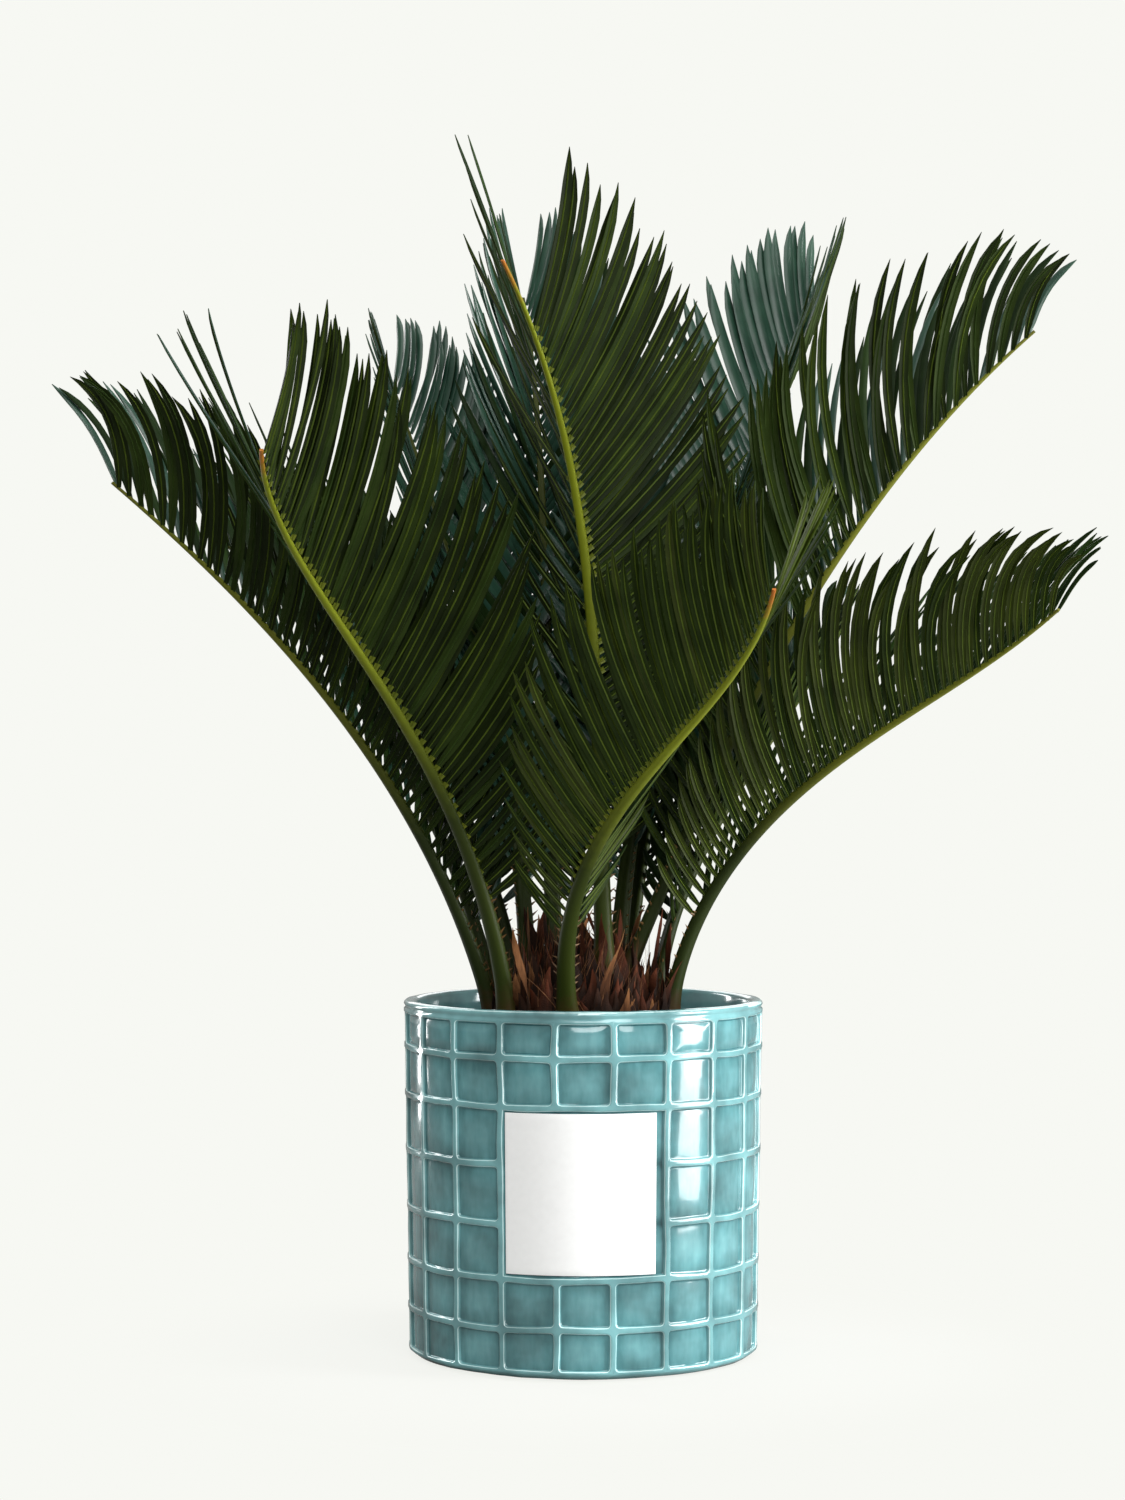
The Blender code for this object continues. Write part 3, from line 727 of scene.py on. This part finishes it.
def scale_material(name, root, middle, tip, roughness):
    """A papery scale, dark at its root and paler towards its tip, with streaks along it. The paler tip is
    partly its own tan and partly a painted highlight.
    """
    return make_material(name, [(0.0, root), (0.5, middle), (1.0, tip)], roughness, source="along",
                         grain=(600, 600, 60), noise_share=0.8, bump=0.8, bump_grain=1400, specular=0.15)


scale_paints = [
    scale_material("scale_dark", (0.003, 0.0015, 0.001), (0.010, 0.004, 0.002), (0.030, 0.011, 0.005), 0.8),
    scale_material("scale_red", (0.004, 0.002, 0.001), (0.028, 0.008, 0.003), (0.095, 0.024, 0.009), 0.75),
    scale_material("scale_tan", (0.006, 0.003, 0.0015), (0.055, 0.020, 0.007), (0.22, 0.095, 0.035), 0.85),
    make_material("fibre", [(0.3, (0.060, 0.022, 0.009)), (0.7, (0.19, 0.088, 0.036))], 0.9,
                  grain=(300, 300, 300), specular=0.15),
]
coat = scales.build(scale_paints)
round_off(coat, 45)
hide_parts("trunk")
print("scales and fibres:", len(coat.data.polygons), "faces")

# %% [markdown]
# ## The fronds
# The frame grows each frond by a rule: its foot on the trunk, a rib that follows a heading and a rise as
# they change from start to end, and two rows of leaflets whose sweep and lift change along the blade. The
# same rule is written again here, with the same numbers, and carried further: two or three times as many
# leaflets, each a slim blade with a midrib, rolled edges and a sharp point, on a rounded rib with thorns on
# its bare part.

# %% The rule for the ribs
FIELDS = "name foot_turn foot_height length headings rises roll leaflet last bow row_ends"
Frond = namedtuple("Frond", FIELDS, defaults=((1, 1),))
FRONDS = (
    Frond("left_low", 188, 174.5 * MM, 0.353, (-151, -154, -155), (74, 51, 38), 0, 0.116, 0.35, 16),
    Frond("left_front", 214, 175 * MM, 0.386, (-126, -128, -85), (80, 46, 28), 0, 0.134, 0.5, 12),
    Frond("tall_front", 308, 197 * MM, 0.388, (-117, -125, -119), (84, 81, 41), 26, 0.124, 0.5, 8, (0.8, 1)),
    Frond("right_front", 260, 176 * MM, 0.322, (-103, -56, -82), (71, 36, 40), 0, 0.114, 0.4, 12),
    Frond("right_high", 345, 195 * MM, 0.403, (-13, -15, -14), (67, 59, 40), 0, 0.138, 0.25, 24),
    Frond("right_low", 345, 175 * MM, 0.332, (-31, -38, -51), (84, 33, 32), 0, 0.116, 0.25, 28),
    Frond("back_right", 32, 195 * MM, 0.420, (56, 51, 50), (87, 59, 56), 0, 0.120, 0.45, 12),
    Frond("right_inner", 8, 183 * MM, 0.240, (14, 34, 50), (86, 52, 46), 0, 0.076, 0.4, 20),
    Frond("back_tall", 115, 187 * MM, 0.405, (102, 97, 105), (77, 78, 56), 0, 0.112, 0.45, 12),
    Frond("back_left", 152, 188 * MM, 0.390, (116, 119, 116), (87, 60, 53), 0, 0.096, 0.4, 14),
    Frond("back_low", 92, 175 * MM, 0.360, (92, 88, 84), (76, 44, 20), 0, 0.115, 0.4, 24),
    Frond("back_mid", 60, 178 * MM, 0.380, (62, 72, 74), (80, 52, 30), 0, 0.115, 0.4, 20),
    Frond("back_wide", 135, 175 * MM, 0.355, (136, 143, 146), (78, 50, 26), 0, 0.110, 0.4, 24),
    Frond("left_back", 165, 175 * MM, 0.300, (170, 170, 170), (80, 58, 44), 0, 0.096, 0.4, 24),
)
RIB_STEPS = 200
FOOT_OFFSET = 1.5 * MM
STEM_HALF_WIDTH = 5.3 * MM
TIP_HALF_WIDTH = 1.0 * MM
RIB_TAPER = 0.82
STEM_SHARE = 0.2


def three_values(values, share):
    """A smooth value that passes through the three given ones at the start, the middle and the end."""
    first, middle, last = values
    left = 1 - share
    return first * left * (1 - 2 * share) + 4 * middle * share * left + last * share * (2 * share - 1)


class Rib:
    """A frond's rib, followed step by step from its foot on the trunk."""

    def __init__(self, frond):
        self.frond = frond
        foot, facing = trunk_point(frond.foot_turn, frond.foot_height)
        self.points = [foot + facing * FOOT_OFFSET]
        for step in range(RIB_STEPS):
            way = self.way((step + 0.5) / RIB_STEPS)
            self.points.append(self.points[-1] + way * frond.length / RIB_STEPS)
        self.points = np.array(self.points)

    def way(self, share):
        turn = math.radians(three_values(self.frond.headings, share))
        climb = math.radians(three_values(self.frond.rises, share))
        return np.array([math.cos(climb) * math.cos(turn), math.cos(climb) * math.sin(turn), math.sin(climb)])

    def at(self, share):
        """The point, the way along, the side, the upper direction and half the width at this share."""
        places = np.arange(RIB_STEPS + 1) / RIB_STEPS
        point = np.array([np.interp(share, places, self.points[:, axis]) for axis in range(3)])
        along = self.way(share)
        heading = math.radians(three_values(self.frond.headings, share))
        level = np.array([-math.sin(heading), math.cos(heading), 0])
        roll = math.radians(self.frond.roll * (1 - share))
        side = level * math.cos(roll) + np.cross(along, level) * math.sin(roll)
        upper = np.cross(along, side)
        upper /= np.linalg.norm(upper)
        half = STEM_HALF_WIDTH + (TIP_HALF_WIDTH - STEM_HALF_WIDTH) * share ** RIB_TAPER
        return point, along, side, upper, half


# %% [markdown]
# A rib in section is a rounded bar with a shallow groove on top. It swells where it leaves the trunk. The
# thorns are short leaflets that never opened: small cones in two rows below the first true ones.

# %% Ribs and thorns
RIB_SECTION = np.array([(1, 0.1), (0.82, 0.62), (0.45, 0.82), (0.15, 0.66), (-0.15, 0.66), (-0.45, 0.82),
                        (-0.82, 0.62), (-1, 0.1), (-0.8, -0.55), (-0.35, -0.85), (0.35, -0.85), (0.8, -0.55)])
RIB_RINGS = 64
THORN_GAP = 5.0 * MM
THORN_FACES = ((0, 1, 4), (1, 2, 4), (2, 3, 4), (3, 0, 4), (3, 2, 1, 0))


def grow_rib(rib, pieces):
    """The rounded rib as one closed tube of rings."""
    rings, values = [], []
    for ring in range(RIB_RINGS + 1):
        share = (ring / RIB_RINGS) ** 1.15
        point, along, side, upper, half = rib.at(share)
        swell = 1 + 0.40 * max(0, 1 - share / 0.07) ** 2
        rings += [point + half * swell * (x * side + 0.85 * y * upper) for x, y in RIB_SECTION]
        values += [share] * len(RIB_SECTION)
    pieces.add(rings, tube_faces(RIB_RINGS + 1, len(RIB_SECTION)), 0, values)


def grow_thorns(rib, pieces, chance):
    """Small cones along both edges of the bare stem."""
    count = int(0.15 * rib.frond.length / THORN_GAP)
    for number in range(count):
        for hand in (1, -1):
            share = 0.035 + 0.16 * (number + chance.uniform(0.1, 0.9)) / count
            point, along, side, upper, half = rib.at(share)
            root = point + hand * side * half * 0.85 + upper * half * 0.25
            way = hand * side * chance.uniform(0.7, 1) + along * chance.uniform(0.2, 0.8) + upper * 0.35
            length, base = MM * chance.uniform(2.4, 4.4), MM * chance.uniform(0.6, 0.85)
            ring = [root + base * (along * x + upper * y) for x, y in ((1.3, 0), (0, 1), (-1.3, 0), (0, -1))]
            pieces.add(ring + [root + way * length], THORN_FACES, 1, [0.02] * 4 + [0.1])


# %% [markdown]
# ## The leaflets
# A leaflet is a stiff, narrow blade. Its section is drawn once as twelve points: a groove above, where the
# midrib lies, edges that roll down, and the midrib's keel beneath. Rings of that section follow the
# leaflet's bending centre line, narrow at the root and drawn out to a point. The rule alone would make all
# fronds alike, so each one seen from the front has a look of its own: the gap between its leaflets, their
# width, how much more they curl near the tip, how softly they bow, how far they stray, and how much
# narrower the row on its far side is. Old leaflets are a deep green above and plainer below, and each gets
# one of a few shades. The bluish green above is a painted reflection of the sky, and the lighter greens and
# olives of the low and front fronds on the right are partly their own tone and partly painted light.

# %% Leaflets
LEAFLETS_FROM = 0.165
LEAFLETS_TO = 0.998
LEAFLET_FIRST = 0.36
LEAFLET_GROWTH = 2.4
LEAFLET_SWEEPS = (60, 47, 29)
LEAFLET_LIFTS = (44, 50, 66)
LEAFLET_CROWDING = 1.3
LAST_AT_LEAST = {"left_low": 0.48}
BOW_PER_CURL = 2.2
FORWARD = 5
SPREAD = 0.30
LEAFLET_PARTS = (0, 0.028, 0.10, 0.19, 0.29, 0.39, 0.50, 0.61, 0.72, 0.82, 0.92, 1)
LEAFLET_RINGS = len(LEAFLET_PARTS)
Look = namedtuple("Look", "gap_mm wide_mm curl softness jitter narrow_row", defaults=(1,))
LOOKS = {
    "left_low": Look(6.0, 5.0, 11, 0.7, 2.6),
    "left_front": Look(5.7, 5.9, 2, 0.8, 1.5, 0.45),
    "tall_front": Look(5.6, 5.8, 2, 0.8, 1.2, 0.85),
    "right_front": Look(4.9, 5.0, 3, 1, 1.3),
    "right_high": Look(7.0, 5.2, 6, 0.5, 2.7),
    "right_low": Look(4.9, 4.5, 9, 0.6, 1.5),
    "back_right": Look(5.6, 6.6, 0, 0.3, 1.2),
    "back_tall": Look(5.4, 6.2, 0, 0.6, 1.6),
}
BACK_LOOK = Look(5.3, 6.0, 3, 1, 1.8)
LEAF_SECTION_WIDE = np.array([-1, -0.62, 0, 0.62, 1, 0.96, 0.55, 0.14, 0, -0.14, -0.55, -0.96])
LEAF_SECTION_HIGH = np.array([-0.75, -0.05, 0.18, -0.05, -0.75, -1.05,
                              -0.60, -0.45, -1.10, -0.45, -0.60, -1.05])
LEAFLET_FACES = tube_faces(LEAFLET_RINGS, len(LEAF_SECTION_WIDE))
OVER, UNDER, MIDRIB = 0, 1, 2
ROOT_FACES = 12
# Fronds whose ribs and leaflet roots take the bright lime: partly their own yellow-green, partly painted
# light.
LIT_LIME = ("left_front", "tall_front", "right_front")
SUNLIT = ("left_low", "right_high", "right_low")
STRIPS = np.array([OVER] * 4 + [UNDER] * 3 + [MIDRIB] * 2 + [UNDER] * 3)


def leaflet_length(frond, place):
    """Short at the blade's start, longest from a third of it on, and short again at the very tip."""
    last = max(frond.last, LAST_AT_LEAST.get(frond.name, 0))
    return frond.leaflet * min(1, LEAFLET_FIRST + LEAFLET_GROWTH * place) * (1 - (1 - last) * place ** 3)


def width_at(share):
    """How wide a leaflet is along its length, as a part of its full width."""
    root = np.interp(share, (0, 0.06, 0.2, 1), (0.48, 0.66, 1, 1))
    point = 1 - max(0, (share - 0.75) / 0.25) ** 2
    return root * max(point, 0.05)


def grow_leaflet(rib, share, hand, look, pieces, chance, shades):
    """One leaflet at this share of the rib, on the side given by hand."""
    frond = rib.frond
    place = 1 - min(1, (1 - share) / (1 - STEM_SHARE)) ** (1 / LEAFLET_CROWDING)
    point, along, side, upper, half = rib.at(share)
    curl = look.curl * place
    forward = FORWARD * max(0, (place - 0.8) / 0.2) ** 2
    sweep = math.radians(three_values(LEAFLET_SWEEPS, place) + curl - forward + chance.gauss(0, look.jitter))
    loose = 1.6 if hand > 0 or look.narrow_row == 1 else 4
    lift = math.radians(three_values(LEAFLET_LIFTS, place) + chance.gauss(0, loose * look.jitter))
    length = leaflet_length(frond, place) * chance.uniform(0.92, 1.05)
    soft = look.softness + (1 - look.softness) * place ** 2
    bow = frond.bow * (0.75 + 0.4 * place) * soft + BOW_PER_CURL * curl
    bow = math.radians(bow * chance.uniform(0.75, 1.25))
    twist = math.radians(chance.gauss(0, 9))
    outward, facing = turned(hand * side, upper, lift)
    centre = point + side * (hand * half * 0.72) + upper * half * 0.3
    scale = np.interp(length, (0.03, 0.09), (0.7, 1)) * (look.wide_mm * MM) / 2
    if hand < 0:
        scale *= look.narrow_row
    rings, values = [], []
    before = 0.0
    for part in LEAFLET_PARTS:
        bend = sweep + math.radians(6) * (1 - part) ** 2 - 1.15 * bow * part ** 2.2
        way = along * math.cos(bend) + outward * math.sin(bend)
        centre = centre + way * length * (part - before)
        before = part
        across = along * math.sin(bend) - outward * math.cos(bend)
        flat, high = turned(across, facing, twist * part)
        wide = width_at(part)
        deep = MM * min(1, 0.3 + wide)
        rings.append(centre + np.outer(LEAF_SECTION_WIDE * scale * wide, flat)
                     + np.outer(LEAF_SECTION_HIGH * deep, high))
        values += [part] * len(LEAF_SECTION_WIDE)
    over, under, midrib = chance.choice(shades)
    paints = np.array([over, under, midrib])[np.tile(STRIPS, LEAFLET_RINGS - 1)]
    # The roots take the lime of the lit rib, partly painted light.
    if frond.name in LIT_LIME:
        paints[:ROOT_FACES] = ROOT
    pieces.add(np.concatenate(rings), LEAFLET_FACES, np.concatenate([paints, [under, over]]), values)


# %% Frond materials
def leaf_material(name, dark, light, roughness, specular):
    return make_material(name, [(0.3, dark), (0.7, light)], roughness, grain=(60, 60, 60), bump=0.10,
                         bump_grain=500, specular=specular)


def rib_material(name, middle, end, foot=(0.045, 0.020, 0.008), stem=(0.016, 0.025, 0.003)):
    stops = [(0.0, foot), (0.06, stem), (0.30, stem), (0.62, middle), (0.93, middle), (1.0, end)]
    return make_material(name, stops, 0.5, source="along", grain=(220, 220, 220), noise_share=0.08, bump=0.12,
                         specular=0.16)


# Lit and shaded rib copies: the lime and green are partly painted light, and the dark shaded rib is painted
# shade.
green_rib = rib_material("rib_green", (0.130, 0.140, 0.012), (0.110, 0.110, 0.012))
lit_lime_rib = rib_material("rib_lit_lime", (0.185, 0.215, 0.010), (0.42, 0.13, 0.020), (0.045, 0.026, 0.007),
                        (0.026, 0.038, 0.004))
shaded_rib = rib_material("rib_shaded", (0.050, 0.062, 0.008), (0.060, 0.065, 0.010))
thorn_paint = make_material("thorn", [(0.0, (0.030, 0.036, 0.008)), (0.1, (0.22, 0.10, 0.030))], 0.5,
                            source="along", noise_share=0.03)
# The bluish upper shade below is a painted reflection of the bright sky on glossy upper faces.
LEAF_PAINTS = (
    ("over_deep", (0.006, 0.015, 0.003), (0.011, 0.025, 0.005), 0.50, 0.09),
    ("over_sky_sheen", (0.012, 0.042, 0.026), (0.028, 0.076, 0.048), 0.30, 0.50),
    ("over_green", (0.012, 0.030, 0.005), (0.022, 0.049, 0.008), 0.42, 0.13),
    ("under_deep", (0.0065, 0.0115, 0.002), (0.012, 0.020, 0.003), 0.55, 0.09),
    ("under_green", (0.013, 0.024, 0.003), (0.022, 0.038, 0.005), 0.55, 0.10),
    ("under_olive", (0.025, 0.036, 0.005), (0.041, 0.057, 0.007), 0.55, 0.16),
    ("midrib", (0.050, 0.080, 0.008), (0.085, 0.125, 0.012), 0.50, 0.20),
    ("midrib_dark", (0.020, 0.040, 0.006), (0.036, 0.066, 0.010), 0.50, 0.20),
    ("young", (0.055, 0.085, 0.009), (0.090, 0.130, 0.013), 0.45, 0.20),
    ("root", (0.080, 0.105, 0.008), (0.130, 0.150, 0.011), 0.50, 0.20),
)
leaf_paints = [leaf_material("leaflet_" + name, *values) for name, *values in LEAF_PAINTS]
DEEP, SKY_SHEEN, GREEN, UNDER_DEEP, UNDER_GREEN, UNDER_OLIVE, LINE, LINE_DARK, YOUNG, ROOT = range(10)
PLAIN_SHADES = ((DEEP, UNDER_DEEP, LINE_DARK), (DEEP, UNDER_DEEP, LINE), (GREEN, UNDER_DEEP, LINE),
                (DEEP, UNDER_GREEN, LINE), (SKY_SHEEN, UNDER_GREEN, LINE_DARK))
# right_low and right_front get lighter greens and olives: partly their own tone, partly painted light from
# the right.
SHADES = {
    "tall_front": ((DEEP, UNDER_DEEP, LINE), (GREEN, UNDER_DEEP, LINE), (DEEP, UNDER_GREEN, LINE)),
    "right_low": ((GREEN, UNDER_OLIVE, LINE), (GREEN, UNDER_GREEN, LINE), (DEEP, UNDER_OLIVE, LINE)),
    "right_front": ((GREEN, UNDER_OLIVE, LINE), (GREEN, UNDER_GREEN, LINE), (GREEN, UNDER_GREEN, LINE)),
    "back_right": ((SKY_SHEEN, UNDER_GREEN, LINE_DARK), (SKY_SHEEN, UNDER_DEEP, LINE_DARK)),
    "back_tall": ((SKY_SHEEN, UNDER_DEEP, LINE_DARK), (DEEP, UNDER_DEEP, LINE_DARK), (SKY_SHEEN, UNDER_GREEN, LINE)),
    "back_left": ((SKY_SHEEN, UNDER_DEEP, LINE_DARK), (SKY_SHEEN, UNDER_GREEN, LINE)),
}
YOUNG_FROM = {"right_front": 0.84}
YOUNG_SHADES = ((YOUNG, YOUNG, LINE), (YOUNG, UNDER_OLIVE, LINE))

# %% Grow the fronds
for index, frond in enumerate(FRONDS):
    chance = random.Random(100 + index)
    rib = Rib(frond)
    stems = Collector("rib_" + frond.name)
    grow_rib(rib, stems)
    grow_thorns(rib, stems, chance)
    blades = Collector("leaflets_" + frond.name)
    shades = SHADES.get(frond.name, PLAIN_SHADES)
    last_share = 1 - (1 - STEM_SHARE) * (1 - min(frond.row_ends)) ** LEAFLET_CROWDING
    look = LOOKS.get(frond.name, BACK_LOOK)
    pairs = round((LEAFLETS_TO - LEAFLETS_FROM) * frond.length / (look.gap_mm * MM))
    for number in range(pairs):
        for hand, row_end in zip((1, -1), frond.row_ends):
            part = (number + 0.5 + 0.12 * hand + chance.uniform(-0.1, 0.1)) / pairs
            part += SPREAD * ((2 * part - 1) ** 3 - (2 * part - 1)) / 4
            share = LEAFLETS_FROM + (LEAFLETS_TO - LEAFLETS_FROM) * part
            young = hand > 0 and share > YOUNG_FROM.get(frond.name, 1)
            thinned = hand < 0 and look.narrow_row < 1 and number % 2
            if (row_end == 1 or share < last_share) and not thinned:
                grow_leaflet(rib, share, hand, look, blades, chance, YOUNG_SHADES if young else shades)
    rib_paint = lit_lime_rib if frond.name in LIT_LIME else green_rib if frond.name in SUNLIT else shaded_rib
    for pieces, paints in ((stems, [rib_paint, thorn_paint]), (blades, leaf_paints)):
        made = pieces.build(paints)
        round_off(made, 50)
        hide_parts("frond_" + frond.name)
print("fronds:", len(FRONDS), "leaflet faces in the last:", len(made.data.polygons))

# %% [markdown]
# ## The stage
# The plant stands on a pale floor that runs into the same pale grey behind it, so there is no horizon. The
# floor shows its own flat colour to the camera and keeps a little real shading, enough for the soft contact
# shadow.

# %% Floor
BACKDROP = (0.93, 0.939, 0.896)
SHADOW_FROM = 0.09
SHADOW_TO = 0.27
bpy.ops.mesh.primitive_circle_add(vertices=96, radius=6, fill_type="NGON", location=(0, 0, -0.0005))
floor = bpy.context.object
floor.name = "floor"
floor_paint = bpy.data.materials.new("pale_floor")
floor_paint.use_nodes = True
tree = floor_paint.node_tree
shader = tree.nodes["Principled BSDF"]
feed(shader, {"Base Color": (0.30, 0.30, 0.29, 1), "Roughness": 1, "Specular IOR Level": 0})
coordinates = add_node(tree, "TexCoord", {})
distance = add_node(tree, "VectorMath", {0: coordinates.outputs["Object"]}, operation="LENGTH")
near = add_node(tree, "MapRange", {"Value": distance.outputs["Value"], "From Min": SHADOW_FROM,
                                   "From Max": SHADOW_TO, "To Min": 1, "To Max": 0},
                interpolation_type="SMOOTHSTEP")
flat = add_node(tree, "Emission", {"Color": (*BACKDROP, 1), "Strength": 1})
dimmed = add_node(tree, "Emission", {"Color": (*BACKDROP, 1), "Strength": 0.88})
matt = add_node(tree, "BsdfDiffuse", {"Color": (0.10, 0.10, 0.10, 1)})
shaded = add_node(tree, "AddShader", {0: dimmed.outputs[0], 1: matt.outputs[0]})
pale = add_node(tree, "MixShader", {0: near.outputs[0], 1: flat.outputs[0], 2: shaded.outputs[0]})
seen = add_node(tree, "LightPath", {})
ground = add_node(tree, "MixShader", {0: seen.outputs["Is Camera Ray"], 1: shader.outputs[0],
                                      2: pale.outputs[0]})
feed(tree.nodes["Material Output"], {"Surface": ground.outputs[0]})
floor.data.materials.append(floor_paint)
floor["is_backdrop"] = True

# %% The room and its lamps
ROOM_STRENGTH = 0.38
world = bpy.data.worlds.new("pale_room")
bpy.context.scene.world = world
world.use_nodes = True
tree = world.node_tree
background = tree.nodes["Background"]
feed(background, {"Color": (*BACKDROP, 1), "Strength": 1})
room = add_node(tree, "Background", {"Color": (*BACKDROP, 1), "Strength": ROOM_STRENGTH})
seen = add_node(tree, "LightPath", {})
choose = add_node(tree, "MixShader", {0: seen.outputs["Is Camera Ray"], 1: room.outputs[0],
                                      2: background.outputs[0]})
feed(tree.nodes["World Output"], {"Surface": choose.outputs[0]})


def soft_box(name, heading, distance, height, size, power, aim):
    """A rectangular lamp at this heading round the plant, turned towards the axis at the aim height."""
    turn = math.radians(heading)
    place = Vector((distance * math.cos(turn), distance * math.sin(turn), height))
    bpy.ops.object.light_add(type="AREA", location=place)
    lamp = bpy.context.object
    lamp.name = name
    lamp.data.shape = "RECTANGLE"
    lamp.data.size, lamp.data.size_y = size
    lamp.data.energy = power
    lamp.rotation_euler = (Vector((0, 0, aim)) - place).to_track_quat("-Z", "Y").to_euler()


soft_box("key", -16, 1.3, 0.66, (0.42, 1.28), 25, 0.66)
soft_box("left_rear_strip", 144, 1.2, 0.5, (0.16, 1.0), 6, 0.5)
soft_box("pot_strip", -23, 0.52, 0.115, (0.17, 0.2), 0.9, 0.1)
soft_box("front_fill", -78, 2.4, 1.5, (1.8, 1.4), 43, 0.1)
soft_box("back_fill", 92, 2.6, 1.3, (1.8, 1.2), 12, 0.2)
soft_box("top", -90, 0.4, 1.9, (1.4, 1.4), 12, 0.3)
bpy.context.scene.view_settings.view_transform = "Standard"

# %% [markdown]
# ## Sizes
# The dressed plant's box is measured.

# %% Measure the dressed plant's box
low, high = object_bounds()
